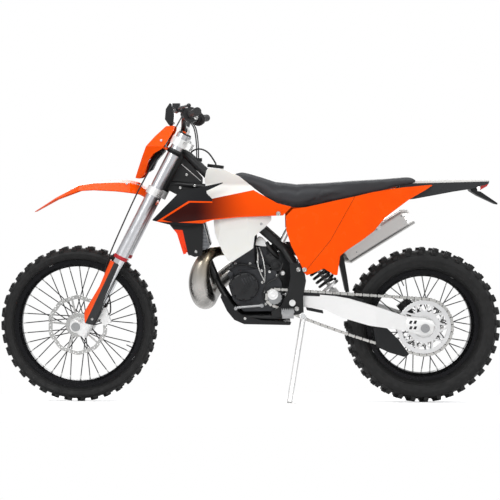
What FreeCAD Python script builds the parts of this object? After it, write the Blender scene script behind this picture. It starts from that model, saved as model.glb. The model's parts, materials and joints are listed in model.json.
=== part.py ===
import FreeCAD
import Part
import math
import os

# An enduro dirt bike, parked on its side stand. Lengths are in millimetres.
# The bike is drawn upright in its own frame: X forward from the rear axle, Y to the rider's left,
# Z up from the floor. At the end every piece is leaned onto the stand and moved to the row's frame,
# whose origin is on the floor under the middle of the whole bike.

V = FreeCAD.Vector

# Overall layout
wheelbase = 1490.0
front_rim_radius = 279.0
front_tyre_height = 61.0
rear_rim_radius = 241.0
rear_tyre_height = 96.0
front_tyre_radius = front_rim_radius + front_tyre_height
rear_tyre_radius = rear_rim_radius + rear_tyre_height
caster_deg = 27.3
axle_lead = 35.0
clamp_offset = 22.0
lean_deg = 9.0

# Marks of the side photograph that outlines follow, and how far away it was taken
rear_axle_px = (422.0, 324.6)
front_axle_px = (78.8, 321.2)
fork_top_px = (187.2, 133.6)
head_px = (174.619, 167.292)
view_centre_px = (265.0, 160.0)
camera_distance = 5500.0

# Clearances and small common sizes
running_clearance = 0.05
seat_gap = 0.3
moving_gap = 6.0
overrun = 20.0
panel_thickness = 3.5
soft_edge = 4.0

# Wheels
rim_depth = 29.0
front_lug_rows = 36
rear_lug_rows = 36
front_lug_height = 12.0
rear_lug_height = 15.0
front_rim_inner_radius = front_rim_radius - rim_depth
front_rim_half_width = 27.0
front_tyre_half_width = 52.0
rear_rim_inner_radius = rear_rim_radius - rim_depth
rear_rim_half_width = 34.0
rear_tyre_half_width = 72.0
rim_wall = 5.0
rim_well_depth = 12.0
axle_radius = 12.5
axle_nut_radius = 19.0
axle_nut_length = 12.0
collar_radius = 16.5
spoke_radius = 2.2
spokes_per_wheel = 36
spoke_sweep_deg = 54.0
spoke_bury = 3.0
front_hub_half_width = 62.0
front_flange_radius = 34.0
front_flange_offset = 27.0
front_barrel_radius = 21.0
rear_hub_half_width = 76.0
rear_flange_radius = 46.0
rear_flange_offset = 33.0
rear_barrel_radius = 28.0
flange_thickness = 6.0

# Brake discs
disc_thickness = 3.0
front_disc_radius = 130.0
front_disc_offset = 60.0
rear_disc_radius = 110.0
rear_disc_offset = 74.0
disc_band = 17.0
disc_wave = 4.0
disc_waves = 10
disc_carrier_radius = 52.0

# Chain drive
chain_pitch = 15.875
rear_teeth = 48
front_teeth = 14
chain_line = 88.0
chain_half_width = 7.0
chain_half_height = 7.2
chain_waist_height = 4.6
chain_inner_height = 3.6
chain_tooth_gap = 0.6
chain_slack = 14.0
sprocket_thickness = 5.0
sprocket_band = 15.0
rear_sprocket_windows = 10

# Steering head and fork
lower_clamp_up = 668.0
clamp_spacing = 234.0
upper_clamp_up = lower_clamp_up + clamp_spacing
clamp_height = 34.0
clamp_ring_wall = 11.0
lower_ring_wall = 7.5
clamp_ear_reach = 15.0
clamp_slot = 2.5
fork_cap_rise = 38.0
fork_top_up = upper_clamp_up + fork_cap_rise
fork_sleeve_end_up = 352.0
fork_inner_bottom_up = -24.0
fork_spread = 98.0
fork_inner_radius = 24.0
fork_upper_radius = 26.0
fork_lower_radius = 28.0
stem_radius = 15.0
head_tube_radius = 29.0
head_clearance = 1.0
steering_range_deg = 42.0

# Handlebar
bar_stand = 54.0
bar_up = upper_clamp_up + bar_stand
bar_ahead = 31.0
bar_radius = 11.0
bar_clamp_radius = 14.0
bar_rise = 67.0
bar_sweep_back = 75.0
bar_half_width = 405.0
bar_clamp_half = 55.0
bar_knee = 165.0
bar_bend = 90.0
grip_radius = 16.5
grip_length = 120.0
grip_flange_radius = 31.0
grip_flange_width = 6.0

# Frame
frame_rail_radius = 19.0
down_tube_radius = 20.0
cradle_radius = 13.0
frame_bend = 60.0
rail_head_side = 24.0
rail_wide_side = 92.0
cradle_side = 74.0
pivot_plate_outer = 115.0
pivot_plate_inner = 102.0
subframe_radius = 9.5

# Swingarm
pivot_px = (292.0, 299.0)
pivot_bolt_radius = 8.5
swingarm_inner_rear = 97.0
swingarm_outer_rear = 121.0
swingarm_outer_front = 89.0
swingarm_inner_front = 52.0

# Engine
crank_half_width = 74.0
engine_tilt_deg = 9.0
cylinder_half_width = 56.0
cylinder_depth = 62.0
cylinder_foot_px = (244.64, 264.46)
cylinder_top_px = (244.92, 229.45)
countershaft_px = (274.8, 294.2)

# Side stand
stand_pivot_px = (303.5, 316.5)
stand_pivot_side = 142.0
stand_tube_radius = 11.5
stand_pin_radius = 6.0
stand_foot_out = 165.0
stand_foot_ahead = 62.0
stand_foot_length = 62.0
stand_foot_width = 46.0
stand_foot_thickness = 7.0
stand_folded_direction_shares = (-0.80, 0.05, 0.60)
stand_axis_turn_deg = 25.0


# The steering axis and the fork's own directions

caster = math.radians(caster_deg)
up_fork = V(-math.sin(caster), 0, math.cos(caster))
ahead_fork = V(math.cos(caster), 0, math.sin(caster))
left = V(0, 1, 0)
front_axle = V(wheelbase, 0, front_tyre_radius)
rear_axle = V(0, 0, rear_tyre_radius)
steering_setback = axle_lead + clamp_offset


def fork_point(up, ahead=0.0, side=0.0):
    """A point given along the steering axis from the front axle, ahead of that axis, and to the left."""
    return front_axle + up_fork * up + ahead_fork * (ahead - steering_setback) + left * side


# The side photograph's pixels as bike coordinates

def flat_pixel(px, side):
    """Pixel that the point would have in the middle plane, as forward and up distances from the rear axle."""
    nearer = (camera_distance - side) / camera_distance
    across = view_centre_px[0] + (px[0] - view_centre_px[0]) * nearer
    down = view_centre_px[1] + (px[1] - view_centre_px[1]) * nearer
    return complex(rear_axle_px[0] - across, rear_axle_px[1] - down)


wheelbase_px = complex(rear_axle_px[0] - front_axle_px[0], rear_axle_px[1] - front_axle_px[1])
wheelbase_run = complex(wheelbase, front_tyre_radius - rear_tyre_radius)
level_turn = wheelbase_run / wheelbase_px / abs(wheelbase_run / wheelbase_px)
fork_px = abs(complex(fork_top_px[0] - front_axle_px[0], fork_top_px[1] - front_axle_px[1]))
head_middle = fork_point((lower_clamp_up + upper_clamp_up) / 2)
head_run_px = flat_pixel(head_px, 0) * level_turn
forward_scale = head_middle.x / head_run_px.real
upward_scale = (head_middle.z - rear_tyre_radius) / head_run_px.imag


def photo(px, side=0.0):
    """Bike X and Z of a pixel on the chassis, which is stretched between the rear axle and the head tube."""
    place = flat_pixel(px, side) * level_turn
    return (place.real * forward_scale, place.imag * upward_scale + rear_tyre_radius)


def photo_line(pixels, side=0.0):
    return [photo(px, side) for px in pixels]


def fork_photo(px, side=0.0):
    """Bike X and Z of a pixel on the parts that steer, scaled by the fork's own length."""
    scale = fork_top_up / fork_px
    place = (flat_pixel(px, side) - wheelbase_px) * level_turn * scale
    return (place.real + wheelbase, place.imag + front_tyre_radius)


def fork_photo_line(pixels, side=0.0):
    return [fork_photo(px, side) for px in pixels]


# Shared shapes

def rounded_path(points, radius, closed=False):
    """Straight runs joined by tangent arcs, each arc as large as asked or as its runs allow."""
    count = len(points)
    corners = range(count) if closed else range(1, count - 1)
    turns = {}
    for i in corners:
        corner = points[i]
        back = points[i - 1] - corner
        on = points[(i + 1) % count] - corner
        shorter = min(back.Length, on.Length)
        back.normalize()
        on.normalize()
        half_turn = (math.pi - back.getAngle(on)) / 2
        if half_turn < math.radians(1):
            continue
        reach = min(radius * math.tan(half_turn), 0.45 * shorter)
        arc_radius = reach / math.tan(half_turn)
        middle = back + on
        middle.normalize()
        inner = corner + middle * (arc_radius / math.cos(half_turn) - arc_radius)
        turns[i] = (corner + back * reach, inner, corner + on * reach)
    edges = []
    for i in range(count if closed else count - 1):
        j = (i + 1) % count
        start = turns[i][2] if i in turns else points[i]
        end = turns[j][0] if j in turns else points[j]
        if (end - start).Length > running_clearance:
            edges.append(Part.LineSegment(start, end).toShape())
        if j in turns and (closed or j < count - 1):
            edges.append(Part.Arc(*turns[j]).toShape())
    return Part.Wire(edges)


def tube(points, radius, bend):
    """A round bar along a bent path."""
    path = rounded_path(points, bend)
    start = points[0]
    direction = points[1] - points[0]
    ring = Part.Wire(Part.makeCircle(radius, start, direction))
    return path.makePipeShell([ring], True, True)


def rod(start, end, radius):
    return Part.makeCylinder(radius, (end - start).Length, start, end - start)


def side_prism(outline, low, high, corner=0.0):
    """An outline of X and Z carried across from Y = low to Y = high."""
    points = [V(x, low, z) for x, z in outline]
    wire = rounded_path(points, corner, True) if corner else Part.makePolygon(points + points[:1])
    return Part.Face(wire).extrude(V(0, high - low, 0))


def plan_prism(outline, low, high, corner=0.0):
    """An outline of X and Y carried up from Z = low to Z = high."""
    points = [V(x, y, low) for x, y in outline]
    wire = rounded_path(points, corner, True) if corner else Part.makePolygon(points + points[:1])
    return Part.Face(wire).extrude(V(0, 0, high - low))


def end_prism(outline, low, high, corner=0.0):
    """An outline of Y and Z carried forward from X = low to X = high."""
    points = [V(low, y, z) for y, z in outline]
    wire = rounded_path(points, corner, True) if corner else Part.makePolygon(points + points[:1])
    return Part.Face(wire).extrude(V(high - low, 0, 0))


def two_view(side, side_low, side_high, plan, corner=0.0):
    """The solid whose side view and plan view are the two outlines."""
    heights = [z for x, z in side]
    body = side_prism(side, side_low, side_high, corner)
    cut = plan_prism(plan, min(heights) - overrun, max(heights) + overrun, corner)
    return body.common(cut)


def mirrored(shape):
    return shape.mirror(V(0, 0, 0), left)


def spun(profile, smooth=False):
    """A ring about the Y axis from an outline of Y and radius."""
    points = [V(0, y, r) for y, r in profile]
    wire = rounded_path(points, soft_edge, True) if smooth else Part.makePolygon(points + points[:1])
    return Part.Face(wire).revolve(V(0, 0, 0), left, 360)


def disc_at(centre, low, high, radius):
    """A round plate about a line along Y through the centre."""
    return Part.makeCylinder(radius, high - low, V(centre[0], low, centre[1]), left)


def one(shape):
    """The shape as its solids, with split faces merged."""
    clean = shape.removeSplitter()
    solids = clean.Solids
    return solids[0] if len(solids) == 1 else Part.makeCompound(solids)


def fused(pieces):
    first = pieces[0]
    return one(first.fuse(pieces[1:])) if len(pieces) > 1 else one(first)


# Wheels, made about their own axle and then set at its place

front_carcass_shares = ((0.50, 1.0), (0.93, 0.76), (0.94, 0.40))
rear_carcass_shares = ((0.50, 1.0), (0.93, 0.80), (0.96, 0.42))
bead_share = 0.94
lug_cover_shares = (0.08, 0.92)
centre_run_shares = (0.30, 0.70)
shoulder_run_shares = (0.60, 0.96)
lug_tip_share = 0.86


def carcass(shares, rim_radius, height, half_width, rim_half_width, rows):
    """Half outline of the tyre below its lugs, as Y and radius at the corners between its flat-faced rows."""
    spread = 1 / math.cos(math.pi / rows)
    half = [(half_width * w, (rim_radius + height * h) * spread) for w, h in shares]
    return half + [(rim_half_width * bead_share, (rim_radius + seat_gap) * spread)]


def row_point(y, radius, turn):
    return V(radius * math.sin(turn), y, radius * math.cos(turn))


def lug_faces(corners, run_shares, height):
    """A band of one row with its lug: the band round the lug's foot, four walls and the top."""
    first, second, third, fourth = corners
    outward = (second - first).cross(fourth - first)
    outward.normalize()
    middle = (first + third) * 0.5
    if outward.x * middle.x + outward.z * middle.z < 0:
        outward = outward * -1

    def spot(u, v):
        near = first + (second - first) * u
        far = fourth + (third - fourth) * u
        return near + (far - near) * v

    (u0, u1), (v0, v1) = run_shares, lug_cover_shares
    foot = [spot(u, v) for u, v in ((u0, v0), (u1, v0), (u1, v1), (u0, v1))]
    centre = (foot[0] + foot[2]) * 0.5
    tip = [centre + (corner - centre) * lug_tip_share + outward * height for corner in foot]
    around = Part.makePolygon(corners + corners[:1])
    faces = [Part.makeFace([around, Part.makePolygon(foot + foot[:1])], "Part::FaceMakerBullseye")]
    faces.append(Part.Face(Part.makePolygon(tip + tip[:1])))
    for k in range(4):
        wall = [foot[k - 1], foot[k], tip[k], tip[k - 1]]
        faces.append(Part.Face(Part.makePolygon(wall + wall[:1])))
    return faces


def tyre(half, rows, lug_height):
    """A knobby tyre in flat-faced rows, each with a wide lug on the crown and one on each shoulder."""
    ring = half + [(-y, r) for y, r in reversed(half)]
    runs = {0: shoulder_run_shares, len(ring) - 2: shoulder_run_shares, len(ring) - 1: centre_run_shares}
    faces = []
    for k in range(rows):
        start = math.pi * (1 + (2 * k - 1) / rows)
        end = start + 2 * math.pi / rows
        for i, (y, r) in enumerate(ring):
            next_y, next_r = ring[(i + 1) % len(ring)]
            corners = [row_point(y, r, start), row_point(y, r, end)]
            corners += [row_point(next_y, next_r, end), row_point(next_y, next_r, start)]
            if i in runs:
                faces += lug_faces(corners, runs[i], lug_height)
            else:
                faces.append(Part.Face(Part.makePolygon(corners + corners[:1])))
    shell = Part.makeShell(faces)
    shell.sewShape()
    body = Part.makeSolid(shell)
    if body.Volume < 0:
        body.reverse()
    return body


def front_tyre():
    half = carcass(
        front_carcass_shares, front_rim_radius, front_tyre_height - front_lug_height, front_tyre_half_width,
        front_rim_half_width, front_lug_rows,
    )
    return tyre(half, front_lug_rows, front_lug_height)


def rear_tyre():
    half = carcass(
        rear_carcass_shares, rear_rim_radius, rear_tyre_height - rear_lug_height, rear_tyre_half_width,
        rear_rim_half_width, rear_lug_rows,
    )
    return tyre(half, rear_lug_rows, rear_lug_height)


def rim(radius, inner_radius, half_width):
    """A drop-centre rim: two flanges, two bead seats and the well that the spokes hold."""
    seat_radius = radius - rim_well_depth
    half = [
        (half_width, radius),
        (half_width, seat_radius - rim_wall),
        (half_width / 2, inner_radius),
        (-half_width / 2, inner_radius),
        (-half_width, seat_radius - rim_wall),
        (-half_width, radius),
        (-half_width + rim_wall, radius),
        (-half_width + rim_wall, seat_radius),
        (-half_width / 2, inner_radius + rim_wall),
        (half_width / 2, inner_radius + rim_wall),
        (half_width - rim_wall, seat_radius),
        (half_width - rim_wall, radius),
    ]
    return spun(half)


def hexagon_bar(start, end, radius):
    """A six-sided bar, used for the many thin spokes."""
    line = end - start
    across = line.cross(left)
    across.normalize()
    corners = []
    for k in range(6):
        spin = FreeCAD.Rotation(line, 60 * k)
        corners.append(start + spin.multVec(across * radius))
    face = Part.Face(Part.makePolygon(corners + corners[:1]))
    return face.extrude(line)


def spokes(flange_radius, flange_offset, rim_inner_radius):
    """Crossed spokes from both hub flanges to the rim's middle."""
    bars = []
    per_side = spokes_per_wheel // 2
    for k in range(spokes_per_wheel):
        side = 1 if k % 2 else -1
        lead = 1 if (k // 2) % 2 else -1
        at_rim = math.radians(360 * k / spokes_per_wheel)
        at_hub = at_rim + lead * math.radians(spoke_sweep_deg)
        hub_radius = flange_radius - spoke_bury
        outside = side * (flange_offset + lead * (spoke_radius + seat_gap) + flange_thickness / 2 * lead)
        start = V(hub_radius * math.sin(at_hub), outside, hub_radius * math.cos(at_hub))
        reach = rim_inner_radius - seat_gap
        end = V(reach * math.sin(at_rim), side * spoke_bury, reach * math.cos(at_rim))
        bars.append(hexagon_bar(start, end, spoke_radius))
    return Part.makeCompound(bars)


def hub(half_width, flange_radius, flange_offset, barrel_radius, carriers):
    """A spool hub with two spoke flanges, and a round seat for each disc or sprocket that it carries."""
    waist = [
        (-half_width, barrel_radius * 0.85),
        (-flange_offset - flange_thickness / 2, barrel_radius),
        (-flange_offset - flange_thickness / 2, flange_radius),
        (-flange_offset + flange_thickness / 2, flange_radius),
        (-flange_offset + flange_thickness, barrel_radius),
        (flange_offset - flange_thickness, barrel_radius),
        (flange_offset - flange_thickness / 2, flange_radius),
        (flange_offset + flange_thickness / 2, flange_radius),
        (flange_offset + flange_thickness / 2, barrel_radius),
        (half_width, barrel_radius * 0.85),
        (half_width, axle_radius + running_clearance),
        (-half_width, axle_radius + running_clearance),
    ]
    body = spun(waist)
    for low, high, radius in carriers:
        ring = disc_at((0, 0), low, high, radius)
        body = body.fuse(ring.cut(disc_at((0, 0), low - overrun, high + overrun, barrel_radius * 0.8)))
    return one(body)


def wave_ring(radius, depth, waves):
    """A closed smooth curve that waves in and out, in the XZ plane."""
    count = waves * 6
    points = []
    for k in range(count):
        angle = 2 * math.pi * k / count
        reach = radius - depth * (1 - math.cos(waves * angle)) / 2
        points.append(V(reach * math.sin(angle), 0, reach * math.cos(angle)))
    curve = Part.BSplineCurve()
    curve.interpolate(points, PeriodicFlag=True)
    return Part.Wire(curve.toShape())


def wave_disc(radius, offset):
    """A brake disc with a waved edge, a waved inside and spokes to its carrier."""
    outer = Part.Face(wave_ring(radius, disc_wave, disc_waves)).extrude(V(0, disc_thickness, 0))
    inner = Part.Face(wave_ring(radius - disc_band, disc_wave, disc_waves)).extrude(V(0, disc_thickness, 0))
    ring = outer.cut(inner)
    hub_ring = disc_at((0, 0), 0, disc_thickness, disc_carrier_radius)
    arms = []
    arm_width = disc_band / 2
    for k in range(disc_waves // 2):
        arm = Part.makeBox(arm_width, disc_thickness, radius - disc_band / 2, V(-arm_width / 2, 0, 0))
        arm.rotate(V(0, 0, 0), left, 360 * k / (disc_waves // 2) + 12)
        arms.append(arm)
    body = ring.fuse([hub_ring] + arms)
    body = body.cut(disc_at((0, 0), -overrun, overrun, disc_carrier_radius - disc_band))
    body.translate(V(0, offset - disc_thickness / 2, 0))
    return one(body)


def pitch_radius(teeth):
    return chain_pitch / (2 * math.sin(math.pi / teeth))


def ring_point(radius, turn):
    return V(radius * math.sin(turn), 0, radius * math.cos(turn))


def sprocket(teeth, thickness, bore_radius, windows):
    """A toothed plate about Y, lightened by a truss of three-cornered windows."""
    pitch = pitch_radius(teeth)
    tip = (pitch - chain_inner_height) * math.cos(math.pi / teeth) - chain_tooth_gap
    root = tip - chain_pitch / 8
    points = []
    for k in range(teeth):
        for share, reach in ((-0.30, root), (-0.12, tip), (0.12, tip), (0.30, root)):
            points.append(ring_point(reach, 2 * math.pi * (k + share) / teeth))
    plate = Part.Face(Part.makePolygon(points + points[:1])).extrude(V(0, thickness, 0))
    cuts = [disc_at((0, 0), -thickness, 2 * thickness, bore_radius)]
    low = bore_radius + sprocket_band * 1.5
    high = root - sprocket_band
    for k in range(windows):
        turn = 2 * math.pi * k / windows
        half = math.pi / windows
        for base, peak, shift, width in ((high, low, 0, 0.78), (low, high, half, 0.5)):
            corners = [ring_point(base, turn + shift - half * width), ring_point(base, turn + shift + half * width)]
            corners.append(ring_point(peak, turn + shift))
            cuts.append(Part.Face(Part.makePolygon(corners + corners[:1])).extrude(V(0, thickness, 0)))
    plate = plate.cut(cuts)
    plate.translate(V(0, -thickness / 2, 0))
    return one(plate)


# Chain

countershaft = V(photo(countershaft_px)[0], 0, photo(countershaft_px)[1])


def chain_loop(offset):
    """The closed line that lies offset outside the chain's pitch line, with a little slack below."""
    front = pitch_radius(front_teeth) + offset
    rear = pitch_radius(rear_teeth) + offset
    gap = countershaft - rear_axle
    lean = math.atan2(gap.z, gap.x)
    spread = math.acos((rear - front) / math.hypot(gap.x, gap.z))

    def rim_point(centre, radius, angle):
        return V(centre.x + radius * math.cos(angle), 0, centre.z + radius * math.sin(angle))

    top = lean + spread
    bottom = lean - spread
    rear_top = rim_point(rear_axle, rear, top)
    front_top = rim_point(countershaft, front, top)
    front_bottom = rim_point(countershaft, front, bottom)
    rear_bottom = rim_point(rear_axle, rear, bottom)
    sag = (front_bottom + rear_bottom) * 0.5 - V(0, 0, chain_slack)
    front_nose = rim_point(countershaft, front, lean)
    rear_tail = rim_point(rear_axle, rear, lean + math.pi)
    return Part.Wire([
        Part.LineSegment(rear_top, front_top).toShape(),
        Part.Arc(front_top, front_nose, front_bottom).toShape(),
        Part.Arc(front_bottom, sag, rear_bottom).toShape(),
        Part.Arc(rear_bottom, rear_tail, rear_top).toShape(),
    ])


def chain():
    """The chain as one closed loop round both sprockets, its plates waisted between the pins."""
    line = chain_loop(0)
    links = 2 * round(line.Length / chain_pitch / 2)
    marks = line.discretize(Number=2 * links + 1)[:-1]
    outer = []
    inner = []
    for k, mark in enumerate(marks):
        inward = left.cross(marks[(k + 1) % len(marks)] - marks[k - 1])
        inward.normalize()
        at_pin = k % 2 == 0
        outer.append(mark - inward * (chain_half_height if at_pin else chain_waist_height))
        if at_pin:
            inner.append(mark + inward * chain_inner_height)
    around = [Part.makePolygon(loop + loop[:1]) for loop in (outer, inner)]
    band = Part.makeFace(around, "Part::FaceMakerBullseye").extrude(V(0, 2 * chain_half_width, 0))
    band.translate(V(0, chain_line - chain_half_width, 0))
    return band


def front_sprocket():
    plate = sprocket(front_teeth, sprocket_thickness, axle_radius, 0)
    boss = disc_at((0, 0), -sprocket_thickness, sprocket_thickness, axle_radius * 1.5)
    shaft = disc_at((0, 0), crank_half_width - chain_line, sprocket_thickness * 2, axle_radius)
    piece = one(plate.fuse([boss, shaft]))
    piece.translate(countershaft + V(0, chain_line, 0))
    return piece


# Frame

pivot = V(photo(pivot_px)[0], 0, photo(pivot_px)[1])
rail_pixels = ((248.0, 212.0), (262.7, 228.0), (284.0, 247.0), (296.5, 267.0))
rail_spread_shares = (0.6, 0.72, 0.8, 1.03)
down_tube_foot_px = (217.0, 281.0)
cradle_front_px = (226.5, 294.0)
cradle_low_px = (240.0, 314.0)
cradle_rear_px = (284.0, 315.0)
pivot_plate_px = (
    (290.0, 262.0), (303.5, 262.0), (306.5, 280.0), (303.5, 296.0), (304.0, 313.0), (272.0, 317.5), (271.5, 310.5),
    (281.0, 306.0), (288.0, 291.0), (291.0, 276.0),
)


def at_side(xz, side):
    return V(xz[0], side, xz[1])


def head_tube_top():
    return upper_clamp_up - clamp_height / 2 - head_clearance


def head_tube_bottom():
    return lower_clamp_up + clamp_height / 2 + head_clearance


shock_top_px = (302.0, 246.0)
shock_low_px = (334.0, 291.0)
shock_bracket_px = ((286.0, 246.0), (286.0, 241.0), (302.0, 241.5), (306.0, 246.0), (302.0, 250.5), (286.0, 251.0))
shock_link_px = ((326.0, 297.0), (331.5, 287.6), (336.5, 287.6), (339.5, 291.5), (338.0, 300.0))
shock_side = -18.0
shock_eye_half = 15.0
shock_pin_radius = 6.0


head_gusset_px = ((181.0, 156.0), (186.0, 155.0), (204.0, 176.0), (203.6, 182.0), (190.0, 192.0), (177.0, 192.0), (166.0, 186.0))
head_gusset_inner = 17.0


def clamp_room():
    """The space just above and below the head tube, where the clamps turn."""
    top = head_tube_top()
    bottom = head_tube_bottom()
    above = rod(fork_point(top), fork_point(top + overrun * 3), fork_spread)
    below = rod(fork_point(bottom - overrun * 4), fork_point(bottom), fork_spread * 0.7)
    return [above, below]


def frame_spine():
    """Head tube, the two rails that run back and down from it, the pivot plates and the cross tubes."""
    top = head_tube_top()
    bottom = head_tube_bottom()
    head = rod(fork_point(bottom), fork_point(top), head_tube_radius)
    pieces = [head]
    for side in (1, -1):
        upper = fork_point(top * 0.94 + bottom * 0.06, -head_tube_radius * 0.4, side * rail_head_side * 0.6)
        corners = [upper]
        for px, share in zip(rail_pixels, rail_spread_shares):
            corners.append(at_side(photo(px, rail_wide_side), side * rail_wide_side * share))
        pieces.append(tube(corners, frame_rail_radius, frame_bend))
        lower = fork_point(bottom * 0.8 + top * 0.2, -head_tube_radius * 0.4, side * rail_head_side * 0.5)
        brace_end = corners[0] + (corners[1] - corners[0]) * 0.6
        pieces.append(rod(lower, brace_end, frame_rail_radius * 0.6))
        plate_low, plate_high = sorted((side * pivot_plate_inner, side * pivot_plate_outer))
        pieces.append(side_prism(photo_line(pivot_plate_px, pivot_plate_outer), plate_low, plate_high, soft_edge * 2))
        gusset_low, gusset_high = sorted((side * head_gusset_inner, side * (head_gusset_inner + soft_edge)))
        pieces.append(side_prism(photo_line(head_gusset_px), gusset_low, gusset_high, soft_edge * 2))
    shock_cross = photo(rail_pixels[1], rail_wide_side)
    cross_half = rail_wide_side * rail_spread_shares[1]
    pieces.append(disc_at(shock_cross, -cross_half, cross_half, cradle_radius))
    low_cross = photo(cradle_rear_px, pivot_plate_inner)
    pieces.append(disc_at(low_cross, -pivot_plate_inner - soft_edge, pivot_plate_inner + soft_edge, cradle_radius))
    pieces.append(disc_at(photo(shock_bracket_px[0], rail_wide_side), -cross_half, cross_half, cradle_radius))
    for low in (shock_side - shock_eye_half - seat_gap - soft_edge, shock_side + shock_eye_half + seat_gap):
        pieces.append(side_prism(photo_line(shock_bracket_px[1:]), low, low + soft_edge, soft_edge / 2))
    eye = photo(shock_top_px)
    pieces.append(disc_at(eye, shock_side - shock_eye_half - soft_edge, shock_side + shock_eye_half + soft_edge, shock_pin_radius))
    body = fused(pieces)
    bore = rod(fork_point(bottom - overrun), fork_point(top + overrun), stem_radius + running_clearance)
    body = body.cut(clamp_room())
    pin = disc_at((pivot.x, pivot.z), -2 * pivot_plate_outer, 2 * pivot_plate_outer, pivot_bolt_radius + seat_gap)
    return one(body.cut([bore, pin]))


def down_tube_head():
    """Where the down tube's middle line meets the head tube."""
    return fork_point(head_tube_bottom() + head_tube_radius * 2.6, -head_tube_radius / 2)


def frame_cradle(spine):
    """The single down tube and the two rails that it splits into under the engine."""
    bottom = head_tube_bottom()
    start = down_tube_head()
    foot = at_side(photo(down_tube_foot_px), 0)
    pieces = [rod(start, foot, down_tube_radius)]
    for side in (1, -1):
        corners = [
            foot + (start - foot) * 0.06,
            at_side(photo(cradle_front_px), side * cradle_side * 0.7),
            at_side(photo(cradle_low_px), side * cradle_side),
            at_side(photo(cradle_rear_px), side * cradle_side),
        ]
        pieces.append(tube(corners, cradle_radius, frame_bend))
    head = rod(fork_point(bottom), fork_point(head_tube_top()), head_tube_radius)
    return one(fused(pieces).cut([spine, head] + clamp_room()))


subframe_rail_px = ((281.0, 244.3), (297.0, 214.0), (330.0, 206.5), (372.0, 198.0), (398.0, 190.5), (440.0, 188.0))
subframe_rail_shares = (0.99, 0.9, 0.86, 0.8, 0.62, 0.55)
subframe_strut_px = ((297.0, 264.0), (345.0, 232.0), (372.0, 198.0))
subframe_side = 74.0
hanger_px = ((388.0, 194.0), (382.0, 229.0))


def subframe(spine):
    """Light alloy tubes that carry the seat, the rear fender and the side panels."""
    pieces = []
    for side in (1, -1):
        rail = []
        for px, share in zip(subframe_rail_px, subframe_rail_shares):
            rail.append(at_side(photo(px, subframe_side), side * subframe_side * share))
        strut = [at_side(photo(px, subframe_side), side * subframe_side) for px in subframe_strut_px[:2]]
        pieces.append(tube(rail, subframe_radius, frame_bend))
        pieces.append(tube(strut + [rail[3]], subframe_radius * 0.8, frame_bend))
    for px, share in zip(subframe_rail_px[3:], subframe_rail_shares[3:]):
        half = subframe_side * share
        pieces.append(disc_at(photo(px, subframe_side), -half, half, subframe_radius * 0.8))
    half = rail_wide_side - frame_rail_radius * 0.6
    pieces.append(disc_at(photo(subframe_strut_px[0], subframe_side), -half, half, subframe_radius * 0.9))
    hanger_y = silencer_side + silencer_half_width + seat_gap
    hanger_top = at_side(photo(hanger_px[0], subframe_side), -subframe_side * subframe_rail_shares[4])
    hanger_low = at_side(photo(hanger_px[1], subframe_side), hanger_y + overrun / 2)
    pieces.append(rod(hanger_top, hanger_low, subframe_radius * 0.7))
    pieces.append(disc_at((hanger_low.x, hanger_low.z), hanger_y, hanger_y + overrun, subframe_radius))
    return one(fused(pieces).cut(spine))


def pivot_bolt():
    """The hollow swingarm bolt, with a round head each side of the frame."""
    span = pivot_plate_outer + seat_gap
    body = disc_at((pivot.x, pivot.z), -span - soft_edge, span + soft_edge, pivot_bolt_radius)
    heads = []
    for low in (-span - 2 * soft_edge, span):
        heads.append(disc_at((pivot.x, pivot.z), low, low + 2 * soft_edge, pivot_bolt_radius * 1.6))
    return one(body.fuse(heads))


# Swingarm

swingarm_upper_px = ((292.0, 292.4), (301.0, 293.2), (318.0, 294.4), (336.1, 296.0), (350.2, 298.6), (378.2, 307.0), (406.3, 316.8))
swingarm_tail_px = ((424.0, 318.5), (434.0, 322.0), (434.0, 333.0), (424.0, 336.0))
swingarm_lower_px = ((406.3, 331.0), (369.8, 325.6), (343.1, 318.0), (324.9, 309.6), (303.0, 307.0), (293.0, 305.6), (287.5, 303.6), (285.6, 299.0), (287.5, 294.4))
swingarm_cross_px = ((302.0, 294.0), (336.0, 297.5), (337.0, 306.0), (303.0, 305.0))


def swingarm():
    """Two tapered arms joined by a cross beam, forked round the rear axle and hung on the pivot bolt."""
    side = photo_line(swingarm_upper_px + swingarm_tail_px + swingarm_lower_px, swingarm_outer_rear)
    front_x = pivot.x + pivot_plate_inner
    bend_x = rear_tyre_radius * 1.12
    plan = [
        (front_x, swingarm_inner_front),
        (front_x, swingarm_outer_front),
        (pivot.x - pivot_plate_inner / 2, swingarm_outer_front),
        (bend_x * 0.55, swingarm_outer_rear),
        (-rear_tyre_radius / 2, swingarm_outer_rear),
        (-rear_tyre_radius / 2, swingarm_inner_rear),
        (bend_x * 0.5, swingarm_inner_rear),
        (bend_x, rear_tyre_half_width + moving_gap),
        (bend_x * 1.15, swingarm_inner_front),
    ]
    arm = two_view(side, 0, 2 * swingarm_outer_rear, plan, soft_edge)
    cross = side_prism(photo_line(swingarm_cross_px), -swingarm_inner_front, swingarm_inner_front, soft_edge * 2)
    tyre_room = disc_at((0, rear_tyre_radius), -overrun * 5, overrun * 5, rear_tyre_radius + 2 * moving_gap)
    cross = cross.cut(tyre_room)
    ears = []
    for low in (shock_side - shock_eye_half - seat_gap - soft_edge, shock_side + shock_eye_half + seat_gap):
        ears.append(side_prism(photo_line(shock_link_px), low, low + soft_edge, soft_edge / 2))
    pin_low = shock_side - shock_eye_half - soft_edge
    ears.append(disc_at(photo(shock_low_px), pin_low, pin_low + 2 * (shock_eye_half + soft_edge), shock_pin_radius))
    body = one(arm.fuse([mirrored(arm), cross] + ears))
    axle_hole = disc_at((0, rear_tyre_radius), -overrun * 10, overrun * 10, axle_radius + seat_gap)
    return one(body.cut(axle_hole).fuse(pivot_bolt()))


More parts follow.
